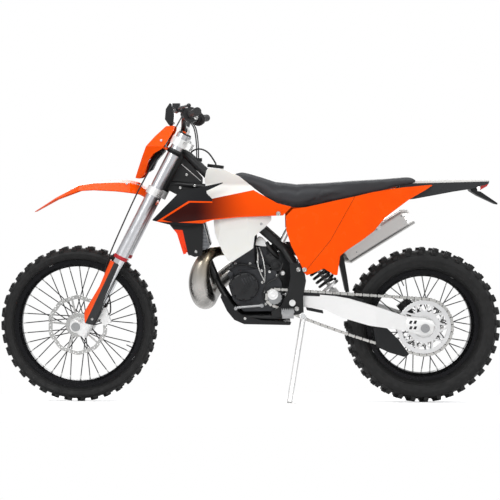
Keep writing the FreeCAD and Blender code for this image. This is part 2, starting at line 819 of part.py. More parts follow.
def rear_axle_bolt():
    span = swingarm_outer_rear + seat_gap
    body = disc_at((0, rear_tyre_radius), -span - soft_edge, span + soft_edge, axle_radius)
    nuts = []
    for low in (-span - axle_nut_length, span):
        nuts.append(disc_at((0, rear_tyre_radius), low, low + axle_nut_length, axle_nut_radius))
    left_collar = disc_at((0, rear_tyre_radius), rear_hub_half_width + seat_gap, swingarm_inner_rear - seat_gap, collar_radius)
    right_end = -swingarm_inner_rear + 2 * seat_gap + soft_edge
    right_collar = disc_at((0, rear_tyre_radius), right_end, -rear_hub_half_width - seat_gap, collar_radius)
    return one(body.fuse(nuts + [left_collar, right_collar]))


guide_px = ((373.0, 325.0), (386.0, 327.0), (400.0, 341.0), (409.0, 354.0), (405.0, 357.5), (390.0, 353.0), (377.0, 347.0))


def chain_guide(arm):
    """The black block under the swingarm that keeps the lower run of the chain in line."""
    outer = chain_line + chain_half_width + moving_gap + soft_edge
    inner = chain_line - chain_half_width - moving_gap - soft_edge
    block = side_prism(photo_line(guide_px, outer), inner, outer, soft_edge)
    slot = Part.Face(chain_loop(chain_half_height + moving_gap / 2)).cut(Part.Face(chain_loop(-chain_half_height - moving_gap / 2)))
    slot = slot.extrude(V(0, 2 * (chain_half_width + moving_gap / 2), 0))
    slot.translate(V(0, chain_line - chain_half_width - moving_gap / 2, 0))
    wheel_room = disc_at((0, rear_tyre_radius), inner - overrun, chain_line + chain_half_width, pitch_radius(rear_teeth) + 2 * moving_gap)
    return largest(block.cut([slot, wheel_room, arm, arm.translated(V(0, 0, -seat_gap))]))


# Engine

crank_px = ((229.5, 283.0), (238.0, 268.0), (262.0, 266.0), (276.0, 268.0), (282.0, 281.0), (282.5, 298.0), (278.0, 308.0), (244.0, 308.3), (233.5, 296.5))
ignition_px = (244.5, 285.7)
ignition_radius = 63.0
ignition_depth = 36.0
ignition_ribs = 5
clutch_px = (256.0, 286.0)
clutch_radius = 66.0
clutch_depth = 34.0
kick_case_px = (279.0, 276.0)


case_flange_share = 0.035
case_boss_px = ((230.5, 272.5), (250.5, 305.5), (270.0, 272.0))
case_boss_radius = 11.0


def crankcase():
    """The two engine halves, rounded at every corner, with the gearbox behind the crank."""
    side = photo_line(crank_px)
    body = side_prism(side, -crank_half_width, crank_half_width, soft_edge * 3)
    deck = Part.makeBox(
        2 * cylinder_depth, 2 * cylinder_half_width, overrun * 3,
        V(cylinder_x - cylinder_depth, -cylinder_half_width, cylinder_base_z - overrun * 3),
    )
    gap = chain_half_width + moving_gap
    chain_room = disc_at((countershaft.x, countershaft.z), chain_line - gap, crank_half_width + overrun, pitch_radius(front_teeth) + chain_half_height + moving_gap)
    body = body.fuse(deck)
    bore = disc_at((countershaft.x, countershaft.z), 0, overrun * 10, axle_radius + seat_gap)
    centre = (sum(x for x, z in side) / len(side), sum(z for x, z in side) / len(side))
    flange = [(x + (x - centre[0]) * case_flange_share, z + (z - centre[1]) * case_flange_share) for x, z in side]
    joint = side_prism(flange, -soft_edge, soft_edge, soft_edge * 3)
    bosses = [disc_at(photo(px, crank_half_width), 0, crank_half_width + soft_edge, case_boss_radius) for px in case_boss_px]
    return one(body.fuse([joint] + bosses).cut([chain_room, bore]))


def ignition_cover():
    """The round left cover, domed at its rim, with slanted ribs moulded on its lower rear."""
    centre = photo(ignition_px, crank_half_width + ignition_depth)
    low = crank_half_width + seat_gap
    high = crank_half_width + ignition_depth
    body = disc_at(centre, low, high, ignition_radius)
    body = body.makeFillet(soft_edge * 3, [body.Edges[0]])
    ribs = []
    for k in range(ignition_ribs):
        rib = Part.makeBox(soft_edge, soft_edge, ignition_radius, V(-soft_edge / 2, 0, -ignition_radius / 2))
        rib.rotate(V(0, 0, 0), left, -28)
        rib.translate(V(centre[0] - ignition_radius * (0.1 * k - 0.1), high - soft_edge / 2, centre[1] - ignition_radius * 0.1))
        ribs.append(rib)
    return one(body.fuse(ribs))


def clutch_cover():
    """The large right cover over the clutch, with the smaller water pump cover in front of it."""
    centre = photo(clutch_px)
    body = disc_at(centre, -crank_half_width - clutch_depth, -crank_half_width - seat_gap, clutch_radius)
    pump_centre = (centre[0] + clutch_radius * 0.95, centre[1] - clutch_radius * 0.35)
    pump = disc_at(pump_centre, -crank_half_width - clutch_depth * 0.7, -crank_half_width - seat_gap, clutch_radius * 0.36)
    return one(body.fuse(pump))


cylinder_x, cylinder_base_z = photo(cylinder_foot_px)
cylinder_height = photo(cylinder_top_px)[1] - cylinder_base_z
cylinder_port_share = 0.427


def exhaust_port_end():
    """Middle of the mouth of the spigot that the exhaust starts at."""
    port_z = cylinder_base_z + cylinder_height * cylinder_port_share
    return V(cylinder_x + cylinder_depth - soft_edge + overrun, 0, port_z)


barrel_share = 0.86
cylinder_level_shares = ((0.0, 0.07, 1.0), (0.07, 0.60, barrel_share), (0.60, 0.72, 0.98), (0.72, 0.88, 0.90))
head_dome_share = 0.55
coolant_radius = 11.0
power_valve_radius = 21.0
power_valve_share = 0.46


def cylinder_section(share, height):
    """Corners of the barrel's outline at a share of its width, at a height over the crankcase."""
    x = cylinder_depth * share
    y = cylinder_half_width * share
    return [V(cylinder_x + a * x, b * y, cylinder_base_z + height) for a, b in ((1, 1), (-1, 1), (-1, -1), (1, -1))]


def coolant_elbow_end():
    """Where the coolant leaves the head, ahead of it and to its left."""
    top = cylinder_base_z + cylinder_height * cylinder_level_shares[-1][1]
    return V(cylinder_x + cylinder_depth * 0.75, cylinder_half_width * 0.4, top + overrun)


def cylinder():
    """The water-cooled barrel on its foot flange, with the bolted head, its domed top and its coolant elbow.

    The exhaust spigot is in front, the round power valve cover on the left and the plug on top.
    """
    pieces = []
    for low, high, share in cylinder_level_shares:
        section = cylinder_section(share, cylinder_height * low + seat_gap)
        face = Part.Face(rounded_path(section, soft_edge * 4, True))
        pieces.append(face.extrude(V(0, 0, cylinder_height * (high - low))))
    last = cylinder_level_shares[-1]
    dome = Part.makeLoft([
        rounded_path(cylinder_section(last[2], cylinder_height * last[1] + seat_gap), soft_edge * 4, True),
        rounded_path(cylinder_section(head_dome_share, cylinder_height), soft_edge * 4, True),
    ], True, True)
    plug = Part.makeCylinder(soft_edge * 2, overrun, V(cylinder_x, 0, cylinder_base_z + cylinder_height - soft_edge), V(0, 0, 1))
    port = exhaust_port_end()
    spigot = rod(port - V(overrun * 2, 0, 0), port, overrun * 1.1)
    elbow_end = coolant_elbow_end()
    elbow = rod(elbow_end - V(overrun * 1.5, 0, overrun * 1.5), elbow_end, coolant_radius)
    valve = (cylinder_x + cylinder_depth / 3, cylinder_base_z + cylinder_height * power_valve_share)
    cover = disc_at(valve, 0, cylinder_half_width + soft_edge, power_valve_radius)
    return one(pieces[0].fuse(pieces[1:] + [dome, plug, spigot, elbow, cover]))


throttle_drum_side = 40.0
throttle_drum_radius = 17.0
boot_ribs = 3
boot_rib_share = 0.45


def intake():
    """Reed block, rubber boot and throttle body between the cylinder and the airbox."""
    z = cylinder_base_z + cylinder_height * 0.388
    start = V(cylinder_x - cylinder_depth * barrel_share - seat_gap, 0, z)
    reed = V(cylinder_x - cylinder_depth - overrun * 1.5, 0, z)
    body_end = V(reed.x - overrun * 2.5, 0, z + soft_edge * 2)
    boot_end = V(photo(rail_pixels[1])[0] - overrun * 2, 0, z + overrun * 1.7)
    pieces = [
        rod(start, reed, overrun * 1.6),
        rod(reed, body_end, overrun * 1.2),
        rod(body_end, boot_end, overrun * 1.5),
    ]
    middle = (reed + body_end) * 0.5
    pieces.append(disc_at((middle.x, middle.z), -throttle_drum_side, throttle_drum_side, throttle_drum_radius))
    boot = boot_end - body_end
    for k in range(1, boot_ribs + 1):
        place = body_end + boot * (k / (boot_ribs + 1))
        pieces.append(rod(place, place + boot * (boot_rib_share / boot_ribs), overrun * 1.5 + soft_edge / 2))
    return fused(pieces)


# Exhaust

exhaust_px = (
    (218.0, 249.7), (210.7, 252.3), (204.6, 258.4), (200.9, 268.4), (199.7, 281.0), (202.2, 292.0), (205.6, 297.0),
    (209.0, 294.0), (215.0, 285.0), (226.0, 274.0), (241.5, 262.0), (259.2, 252.3), (273.8, 249.0), (285.0, 249.0),
    (296.4, 251.3), (306.5, 254.0), (318.2, 259.8), (327.2, 262.5),
)
exhaust_reach = 157.0
exhaust_side_shares = (
    0.09, 0.29, 0.395, 0.385, 0.33, 0.17, -0.16, -0.52, -0.84, -0.97, -1.0, -0.97, -0.88, -0.78,
    -0.715, -0.69, -0.70, -0.745,
)
belly_radius = 50.0
belly_shares = (0.38, 0.39, 0.42, 0.50, 0.62, 0.80, 0.94, 1.0, 0.94, 0.84, 0.80, 0.76, 0.66, 0.52, 0.38, 0.30)
silencer_front_px = (346.0, 254.0)
silencer_rear_px = (404.0, 218.0)
silencer_tip_px = (412.0, 213.0)
silencer_side = -122.0
silencer_half_height = 44.0
silencer_half_width = 38.0


def exhaust_pipe():
    """The expansion chamber: a pipe that swells to a fat belly ahead of the engine and narrows again behind it."""
    mouth = at_side(photo(silencer_front_px, silencer_side), silencer_side)
    tail = at_side(photo(silencer_rear_px, silencer_side), silencer_side) - mouth
    tail.normalize()
    port = exhaust_port_end() + V(seat_gap, 0, 0)
    route = [port, port + V(overrun * 0.9, 0, 0)]
    for px, share in zip(exhaust_px, exhaust_side_shares):
        side = share * exhaust_reach
        route.append(at_side(photo(px, side), side))
    route.append(mouth - tail * 3 * overrun)
    route.append(mouth - tail * (overrun + seat_gap))
    rings = []
    for k, share in enumerate(belly_shares):
        before = route[max(k - 1, 0)]
        after = route[k + 1]
        rings.append(Part.Wire(Part.makeCircle(share * belly_radius, route[k], after - before)))
    chamber = Part.makeLoft(rings, True, False)
    tail_pipe = tube(route[len(rings) - 1:], belly_shares[-1] * belly_radius, frame_bend)
    return one(chamber.fuse(tail_pipe))


def slanted_frame(start, end):
    """Placement whose X runs from start to end, with Y kept to the left."""
    along = end - start
    along.normalize()
    across = left - along * left.dot(along)
    across.normalize()
    up = along.cross(across)
    matrix = FreeCAD.Matrix(
        along.x, across.x, up.x, start.x,
        along.y, across.y, up.y, start.y,
        along.z, across.z, up.z, start.z,
        0, 0, 0, 1,
    )
    return FreeCAD.Placement(matrix)


def silencer_room():
    """The space that the right side panel leaves round the silencer."""
    start = at_side(photo(silencer_front_px, silencer_side), silencer_side)
    end = at_side(photo(silencer_rear_px, silencer_side), silencer_side)
    h = silencer_half_height + moving_gap
    w = silencer_half_width + moving_gap
    section = [(-w, -h), (w, -h), (w, h), (-w, h)]
    room = end_prism(section, -overrun * 2, (end - start).Length + overrun * 2, soft_edge * 5)
    room.Placement = slanted_frame(start, end)
    return room


def silencer():
    """The alloy silencer can, squarish with rounded corners, and its cut-back end cap."""
    start = at_side(photo(silencer_front_px, silencer_side), silencer_side)
    end = at_side(photo(silencer_rear_px, silencer_side), silencer_side)
    tip = at_side(photo(silencer_tip_px, silencer_side), silencer_side)
    length = (end - start).Length
    h = silencer_half_height
    w = silencer_half_width
    section = [(-w, -h), (w, -h), (w, h), (-w, h)]
    can = end_prism(section, 0, length, soft_edge * 5)
    taper_face = [(y * 0.6, z * 0.6) for y, z in section]
    neck = Part.makeLoft([
        rounded_path([V(-overrun, y, z) for y, z in taper_face], soft_edge * 3, True),
        rounded_path([V(0, y, z) for y, z in section], soft_edge * 5, True),
    ], True, True)
    cap = Part.makeLoft([
        rounded_path([V(length, y, z) for y, z in section], soft_edge * 5, True),
        rounded_path([V(length + overrun * 1.5, y * 0.8, z * 0.8 + h * 0.2) for y, z in section], soft_edge * 4, True),
    ], True, True)
    outlet = Part.makeCylinder(overrun * 0.7, overrun * 4, V(length - overrun, 0, 0), V(1, 0, 0))
    body = can.fuse([neck, cap]).cut(outlet)
    body.Placement = slanted_frame(start, end)
    return one(body)


# Radiators and bodywork

radiator_px = ((176.0, 205.0), (197.0, 193.0), (210.0, 246.0), (189.0, 254.0))
radiator_inner = 44.0
radiator_outer = 128.0
radiator_stay_shares = (0.48, 0.66)


def radiator(side):
    core = side_prism(photo_line(radiator_px, radiator_outer), radiator_inner, radiator_outer, soft_edge)
    foot = at_side(photo(down_tube_foot_px), 0)
    head = down_tube_head()
    stays = []
    for share in radiator_stay_shares:
        place = foot + (head - foot) * share
        low = down_tube_radius + seat_gap
        stays.append(disc_at((place.x, place.z), low, radiator_inner + soft_edge, subframe_radius))
    body = one(core.fuse(stays))
    return body if side > 0 else mirrored(body)


tank_px = (
    (207.0, 169.0), (209.0, 166.5), (225.0, 168.0), (240.0, 175.0), (256.0, 188.0), (276.0, 203.0), (284.0, 213.0),
    (274.4, 216.6), (264.9, 227.1), (255.3, 234.8), (253.7, 247.0), (238.5, 256.7), (233.0, 260.4), (229.0, 260.0),
    (223.3, 251.3), (215.5, 231.8), (214.0, 214.0), (208.0, 195.0), (205.0, 178.0),
)
tank_top_half = 74.0
tank_wide_half = 136.0
tank_low_half = 126.0
tank_front_half = 92.0
tank_rear_half = 88.0
tank_lobe_inner = 104.0
cap_px = (216.7, 166.5)
cap_radius = 36.0
cap_height = 14.0
cap_grooves = 16
cap_tilt_shares = (-0.12, 0.0, 1.0)
vent_radius = 3.5
vent_route_px = ((213.4, 155.5), (208.6, 149.8), (201.5, 147.0), (194.6, 148.6), (191.0, 153.2), (189.6, 158.5))
vent_bend = 60.0


def curved_wall(rows, outline, reach, posts):
    """A thin bowed wall cut to a side outline. Each row is a height and its list of X and Y.

    Each post is a pixel and the Y at which it meets the piece that carries the wall.
    """
    grid = [[V(x, y, z) for x, y in line] for z, line in rows]
    surface = Part.BSplineSurface()
    surface.interpolate(grid)
    sheet = surface.toShape()
    skin = sheet.common(side_prism(outline, -reach, reach, soft_edge / 2)).Faces[0]
    wall = skin.extrude(V(0, -panel_thickness, 0))
    behind = sheet.extrude(V(0, -reach, 0))
    feet = []
    for px, foot in posts:
        place = photo(px, foot)
        feet.append(rod(at_side(place, foot), at_side(place, reach), post_radius).common(behind))
    return one(wall.fuse(feet))


def fuel_tank(spine, cushion):
    """The clear plastic tank: a narrow back between the rails' tops and two lobes beside the cylinder."""
    side = photo_line(tank_px, tank_wide_half)
    top_z = max(z for x, z in side)
    low_z = min(z for x, z in side)
    rise = top_z - low_z
    front = [
        (tank_top_half, top_z + overrun),
        (tank_top_half, low_z + rise * 0.82),
        (tank_wide_half, low_z + rise * 0.55),
        (tank_wide_half, low_z + rise * 0.35),
        (tank_low_half, low_z - overrun),
        (-tank_low_half, low_z - overrun),
        (-tank_wide_half, low_z + rise * 0.35),
        (-tank_wide_half, low_z + rise * 0.55),
        (-tank_top_half, low_z + rise * 0.82),
        (-tank_top_half, top_z + overrun),
    ]
    body = side_prism(side, -tank_wide_half, tank_wide_half, soft_edge)
    body = body.common(end_prism(front, min(x for x, z in side) - overrun, max(x for x, z in side) + overrun, soft_edge * 5))
    tunnel = Part.makeBox(overrun * 30, 2 * tank_lobe_inner, rise * 0.62 + overrun, V(cylinder_x - overrun * 12, -tank_lobe_inner, low_z - overrun))
    ends = [x for x, z in side]
    run = max(ends) - min(ends)
    plan_left = [
        (max(ends) + overrun, tank_front_half), (max(ends) - run * 0.2, tank_wide_half),
        (min(ends) + run * 0.45, tank_wide_half), (min(ends), tank_rear_half),
        (min(ends) - overrun, tank_rear_half),
    ]
    plan = plan_left + [(x, -y) for x, y in reversed(plan_left)]
    body = body.common(plan_prism(plan, low_z - overrun, top_z + overrun, overrun))
    body = body.cut([tunnel, spine, cushion, cushion.translated(V(0, 0, -seat_gap))])
    return largest(body)


def largest(shape):
    solids = sorted(shape.Solids, key=lambda s: s.Volume)
    return one(solids[-1])


def cap_place():
    x, z = photo(cap_px, 0)
    return V(x, 0, z)


def fuel_cap():
    """The ribbed cap, tilted with the tank's top, with the nipple that its vent hose pushes onto."""
    place = cap_place() + V(0, 0, seat_gap)
    tilt = V(*cap_tilt_shares)
    tilt.normalize()
    body = Part.makeCylinder(cap_radius, cap_height, place, tilt)
    body = body.makeChamfer(soft_edge / 2, [body.Edges[0]])
    grooves = []
    for k in range(cap_grooves):
        turn = 2 * math.pi * k / cap_grooves
        rim = place + V(cap_radius * math.cos(turn), cap_radius * math.sin(turn), -overrun)
        grooves.append(Part.makeCylinder(soft_edge * 0.6, cap_height + 2 * overrun, rim, tilt))
    nipple = Part.makeCylinder(vent_radius, soft_edge, place + tilt * (cap_height - running_clearance), tilt)
    return one(body.cut(grooves).fuse(nipple))


oil_cap_px = (199.0, 159.5)
oil_cap_radius = 16.0
oil_cap_height = 26.0


def oil_cap(spine):
    """The oil filler's black cap, standing on the frame's top rails behind the steering head."""
    x, z = photo(oil_cap_px)
    body = Part.makeCylinder(oil_cap_radius, oil_cap_height * 2, V(x, 0, z + oil_cap_height / 2), V(0, 0, -1))
    knob = Part.makeCylinder(oil_cap_radius + soft_edge, oil_cap_height * 0.6, V(x, 0, z + oil_cap_height / 2), V(0, 0, -1))
    above = sorted(body.fuse(knob).cut([spine, spine.translated(V(0, 0, -oil_cap_height))]).Solids, key=lambda s: s.BoundBox.ZMax)
    return one(above[-1])


def vent_hose(spine, cap):
    """The tank's breather hose, from the cap in an arc to the frame behind the steering head."""
    tilt = V(*cap_tilt_shares)
    tilt.normalize()
    start = cap_place() + tilt * (cap_height + soft_edge + seat_gap)
    route = [start] + [at_side(photo(px), 0) for px in vent_route_px]
    return largest(tube(route, vent_radius, vent_bend).cut([spine, cap]))


shroud_px = (
    (152.3, 218.4), (181.0, 189.6), (227.2, 180.3), (206.0, 190.0), (213.0, 197.0), (254.3, 188.9), (278.3, 202.3), (292.6, 206.1),
    (284.0, 214.7), (240.0, 215.9), (213.3, 218.4), (203.8, 221.5), (190.0, 224.5), (172.1, 223.3),
)
cover_px = (
    (171.0, 214.0), (204.0, 212.0), (202.7, 253.5), (195.2, 255.2), (188.6, 252.4), (185.4, 244.8), (176.9, 230.6), (170.0, 222.0),
)
cover_gap = 6.0
cover_side = radiator_outer + cover_gap
louvre_px = ((172.0, 207.0), (185.5, 252.0))
louvre_depth = 14.0
louvre_count = 7
louvre_tilt_deg = 35.0


seat_width_px = ((232.0, 172.0), (250.0, 172.0), (300.0, 172.0), (350.0, 172.0), (418.0, 172.0))
seat_nose_half = 46.0
seat_front_half = 72.0
seat_wide_half = 94.0
seat_tail_half = 72.0
shroud_width_px = ((150.0, 218.0), (190.0, 218.0), (238.0, 218.0), (296.0, 206.0))
shroud_nose_clear = 22.0
shroud_belly_clear = 40.0
shroud_knee_clear = 16.0
shroud_rear_clear = 30.0
shroud_nose_side = radiator_outer + shroud_nose_clear
shroud_belly_side = tank_wide_half + shroud_belly_clear
shroud_knee_side = tank_wide_half + shroud_knee_clear
shroud_rear_side = tank_rear_half + shroud_rear_clear
panel_width_px = ((284.0, 230.0), (350.0, 215.0), (438.0, 185.0))
panel_step = 15.0
panel_seat_clear = 24.0
panel_front_side = shroud_rear_side + panel_step
panel_mid_side = seat_wide_half + panel_seat_clear
panel_rear_side = seat_tail_half + panel_seat_clear
panel_bulge = 16.0
post_radius = 7.0
shroud_post_px = ((186.0, 216.5), (200.0, 215.5))
cover_post_px = ((188.0, 222.0), (200.0, 246.0))
panel_post_px = ((330.0, 206.5), (372.0, 198.0))


def shroud(side):
    """A radiator shroud: a thin bowed wing from the knees forward to a point beside the fork."""
    y = shroud_belly_side
    outline = photo_line(shroud_px, y)
    nose, belly, knee, rear = [x for x, z in photo_line(shroud_width_px, y)]
    low = min(z for x, z in outline) - overrun
    mid = photo(shroud_width_px[1], y)[1]
    high = max(z for x, z in outline) + overrun
    rows = []
    for z, pull in ((low, panel_bulge * 1.4), (mid, 0.0), (high, panel_bulge * 2.2)):
        rows.append((z, [
            (nose + overrun, shroud_nose_side - pull),
            (belly, shroud_belly_side - pull),
            (knee, shroud_knee_side - pull),
            (rear - overrun, shroud_rear_side - pull),
        ]))
    posts = [(px, cover_side + panel_thickness + seat_gap) for px in shroud_post_px]
    piece = curved_wall(rows, outline, 2 * y, posts)
    return piece if side > 0 else mirrored(piece)


def radiator_cover(side):
    """The cover outside a radiator and, in front of the core, the louvres that turn the mud aside."""
    wall = side_prism(photo_line(cover_px, cover_side), cover_side, cover_side + panel_thickness, soft_edge / 2)
    pieces = [wall]
    for px in cover_post_px:
        pieces.append(disc_at(photo(px, cover_side), radiator_outer + seat_gap, cover_side + soft_edge / 2, post_radius))
    high, low = [at_side(photo(px, cover_side), 0) for px in louvre_px]
    for k in range(louvre_count):
        place = high + (low - high) * ((k + 0.5) / louvre_count)
        blade = Part.makeBox(louvre_depth, cover_side - radiator_inner + soft_edge / 2, panel_thickness / 2)
        blade.translate(V(-louvre_depth / 2, radiator_inner, -panel_thickness / 4))
        blade.rotate(V(0, 0, 0), left, louvre_tilt_deg)
        blade.translate(place)
        pieces.append(blade)
    frame_line = low - high
    inner_post = Part.makeBox(louvre_depth, panel_thickness, frame_line.Length, V(-louvre_depth / 2, radiator_inner, 0))
    outer_post = Part.makeBox(louvre_depth, panel_thickness, frame_line.Length, V(-louvre_depth / 2, cover_side, 0))
    for post in (inner_post, outer_post):
        post.rotate(V(0, 0, 0), left, math.degrees(math.atan2(-frame_line.x, -frame_line.z)))
        pieces.append(post.translated(low))
    body = fused(pieces)
    return body if side > 0 else mirrored(body)


side_panel_px = (
    (286.6, 214.9), (294.0, 207.6), (307.0, 206.1), (335.7, 199.9), (354.8, 196.1), (373.9, 191.7), (402.6, 187.5), (435.1, 184.9),
    (427.5, 189.8), (410.3, 199.4), (396.9, 209.0), (385.4, 217.6), (373.9, 231.0), (362.4, 239.6), (349.0, 248.2),
    (340.4, 254.9), (337.6, 274.0), (334.7, 274.0), (324.2, 267.3), (312.7, 272.1), (307.0, 274.0), (304.1, 271.1),
    (302.1, 265.3), (291.7, 244.4), (286.9, 229.0),
)


def side_panel(side):
    """A side panel and number plate: a thin bowed wall from the shroud back to its tail point."""
    y = panel_front_side
    outline = photo_line(side_panel_px, y)
    front, mid, rear = [x for x, z in photo_line(panel_width_px, y)]
    low = min(z for x, z in outline) - overrun
    waist = photo(panel_width_px[1], y)[1]
    high = max(z for x, z in outline) + overrun
    rows = []
    for z, pull in ((low, -panel_bulge), (waist, 0.0), (high, panel_bulge)):
        rows.append((z, [
            (front + overrun, panel_front_side - pull),
            (mid, panel_mid_side + panel_bulge - pull),
            (rear - overrun, panel_rear_side - pull),
        ]))
    posts = []
    for px, share in zip(panel_post_px, subframe_rail_shares[2:]):
        posts.append((px, subframe_side * share + subframe_radius + 2 * seat_gap))
    piece = curved_wall(rows, outline, 2 * y, posts)
    return piece if side > 0 else largest(mirrored(piece).cut(silencer_room()))


seat_px = (
    (233.3, 172.8), (237.5, 171.0), (248.0, 173.0), (261.8, 177.2), (276.3, 182.0), (297.4, 184.5), (322.3, 183.7), (354.8, 181.6),
    (385.4, 180.0), (412.2, 178.0), (415.5, 179.5), (414.0, 182.0), (393.0, 185.6), (373.9, 190.6), (354.8, 194.8),
    (335.7, 198.6), (316.5, 202.8), (303.1, 204.8), (291.7, 204.5), (278.3, 200.8), (264.9, 194.0), (254.3, 187.0), (242.0, 179.5),
)


def seat():
    """The long flat seat, narrow at the tank and widest under the rider."""
    side = photo_line(seat_px)
    nose, front, thigh, wide, tail = [x for x, z in photo_line(seat_width_px)]
    plan_left = [
        (nose + overrun, seat_nose_half * 0.8),
        (front, seat_front_half),
        (thigh, seat_wide_half * 0.92),
        (wide, seat_wide_half),
        (tail - overrun, seat_tail_half),
    ]
    plan = plan_left + [(x, -y) for x, y in reversed(plan_left)]
    return one(two_view(side, -seat_wide_half, seat_wide_half, plan, soft_edge * 1.5))


rear_fender_top_px = ((398.0, 181.8), (416.0, 180.8), (450.0, 180.4), (486.8, 180.6))
rear_fender_low_px = ((486.0, 184.0), (468.0, 189.0), (450.0, 191.6), (412.0, 198.4), (398.0, 199.6))
rear_fender_width_px = ((398.0, 190.0), (430.0, 190.0), (487.0, 184.0))
rear_fender_front_half = 62.0
rear_fender_wide_half = 74.0
rear_fender_tail_half = 58.0


def rear_fender(cushion, lamp):
    """The tail: a flat topped mudguard with sides that turn down, hollow below."""
    side = photo_line(rear_fender_top_px + rear_fender_low_px)
    front_x, wide_x, tail_x = [x for x, z in photo_line(rear_fender_width_px)]
    plan_left = [
        (front_x + overrun, rear_fender_front_half),
        (wide_x, rear_fender_wide_half),
        (tail_x - overrun, rear_fender_tail_half),
    ]
    plan = plan_left + [(x, -y) for x, y in reversed(plan_left)]
    body = two_view(side, -rear_fender_wide_half, rear_fender_wide_half, plan, soft_edge)
    inner_plan = [(x, y - math.copysign(panel_thickness * 2, y)) for x, y in plan]
    hollow_side = [(x, z - panel_thickness * 1.2) for x, z in photo_line(rear_fender_top_px)]
    hollow_side = hollow_side + [(x, z - overrun) for x, z in photo_line(rear_fender_low_px[1:])]
    hollow = two_view(hollow_side, -rear_fender_wide_half, rear_fender_wide_half, inner_plan)
    lamp_room = lamp.makeOffsetShape(seat_gap, running_clearance, join=2)
    return largest(body.cut([hollow, cushion, cushion.translated(V(0, 0, -seat_gap)), lamp_room]))


tail_lamp_px = ((478.0, 184.6), (487.5, 182.6), (485.0, 186.5), (478.5, 190.2))
plate_holder_px = ((465.0, 181.0), (474.0, 181.0), (475.5, 191.2), (478.5, 191.6), (495.4, 203.2), (495.0, 204.8), (477.0, 196.2), (469.6, 191.6))


def tail_lamp():
    return side_prism(photo_line(tail_lamp_px), -rear_fender_tail_half * 0.7, rear_fender_tail_half * 0.7, soft_edge / 2)


def plate_holder(fender):
    """The flap below the tail lamp that a number plate screws to, with its root up inside the fender."""
    half = rear_fender_tail_half * 0.8
    body = side_prism(photo_line(plate_holder_px), -half, half, soft_edge / 4)
    return largest(body.cut([fender, fender.translated(V(0, 0, -seat_gap))]))


skid_px = (
    (221.0, 294.0), (227.6, 307.6), (234.8, 316.0), (244.5, 320.3), (289.4, 321.5), (290.5, 320.4),
    (245.0, 319.1), (235.8, 314.8), (228.9, 306.9), (222.4, 293.4),
)
skid_wall_px = (
    (221.0, 294.0), (227.6, 307.6), (234.8, 316.0), (244.5, 320.3), (289.4, 321.5), (291.0, 318.5), (262.0, 316.5),
    (242.0, 311.5), (231.0, 299.0), (226.0, 292.5),
)
skid_half_width = 100.0
skid_front_half = 60.0
skid_floor_px = 320.6
skid_block_px = ((256.0, 317.0), (280.0, 318.0))


def skid_plan(grow):
    front_x = photo(skid_px[0])[0] + overrun
    shoulder_x = photo(skid_px[2])[0]
    rear_x = photo(skid_px[4])[0] - overrun
    left_edge = [(front_x, skid_front_half + grow), (shoulder_x, skid_half_width + grow), (rear_x, skid_half_width + grow)]
    return left_edge + [(x, -y) for x, y in reversed(left_edge)]


def skid_plate(cradle):
    """The plastic guard curved up under the cradle, with turned-up sides and blocks under the rails."""
    base = two_view(photo_line(skid_px), -skid_half_width, skid_half_width, skid_plan(0.0))
    outer = two_view(photo_line(skid_wall_px), -skid_half_width, skid_half_width, skid_plan(0.0))
    inner = two_view(photo_line(skid_wall_px), -skid_half_width, skid_half_width, skid_plan(-panel_thickness))
    walls = outer.cut(inner)
    blocks = []
    for px in skid_block_px:
        x, z = photo(px)
        for side in (1, -1):
            y = side * cradle_side
            half = cradle_radius * 0.8
            top = z + cradle_radius
            base_z = photo((px[0], skid_floor_px))[1]
            blocks.append(Part.makeBox(2 * half, 2 * half, top - base_z, V(x - half, y - half, base_z)))
    room = []
    for side in (1, -1):
        low = at_side(photo(cradle_low_px), side * cradle_side)
        rear = at_side(photo(cradle_rear_px), side * cradle_side)
        room.append(rod(low, rear, cradle_radius + seat_gap))
        room.append(rod(low + V(0, 0, cradle_radius), rear + V(0, 0, cradle_radius), cradle_radius + seat_gap))
    return one(base.fuse([walls] + [b.cut(room) for b in blocks]))


airbox_px = ((300.0, 210.0), (352.0, 200.0), (352.0, 214.0), (322.0, 246.0), (304.0, 250.0))
airbox_half = 50.0


def airbox():
    """The air filter box under the seat, with room for the shock's upper end."""
    body = side_prism(photo_line(airbox_px), -airbox_half, airbox_half, soft_edge * 3)
    top, low = shock_ends()
    room = rod(top - (low - top) * 0.3, low, shock_spring_radius + 2 * shock_wire_radius)
    ear_half = subframe_side * subframe_rail_shares[2] - subframe_radius - seat_gap
    ears = disc_at(photo(subframe_rail_px[2], subframe_side), -ear_half, ear_half, subframe_radius)
    return largest(body.cut(room).fuse([ears, mudflap()]))


mudflap_px = ((331.0, 231.0), (340.0, 225.0), (343.0, 252.0), (347.0, 276.0), (349.0, 290.0), (345.5, 291.0), (341.0, 270.0), (337.0, 252.0))


def mudflap():
    """The black splash guard between the shock and the rear tyre."""
    return side_prism(photo_line(mudflap_px), -airbox_half, airbox_half, soft_edge / 2)


# Shock

shock_spring_radius = 37.0
shock_wire_radius = 6.5
shock_body_radius = 22.0
shock_turns = 7


def shock_ends():
    top = at_side(photo(shock_top_px), shock_side)
    low = at_side(photo(shock_low_px), shock_side)
    return top, low


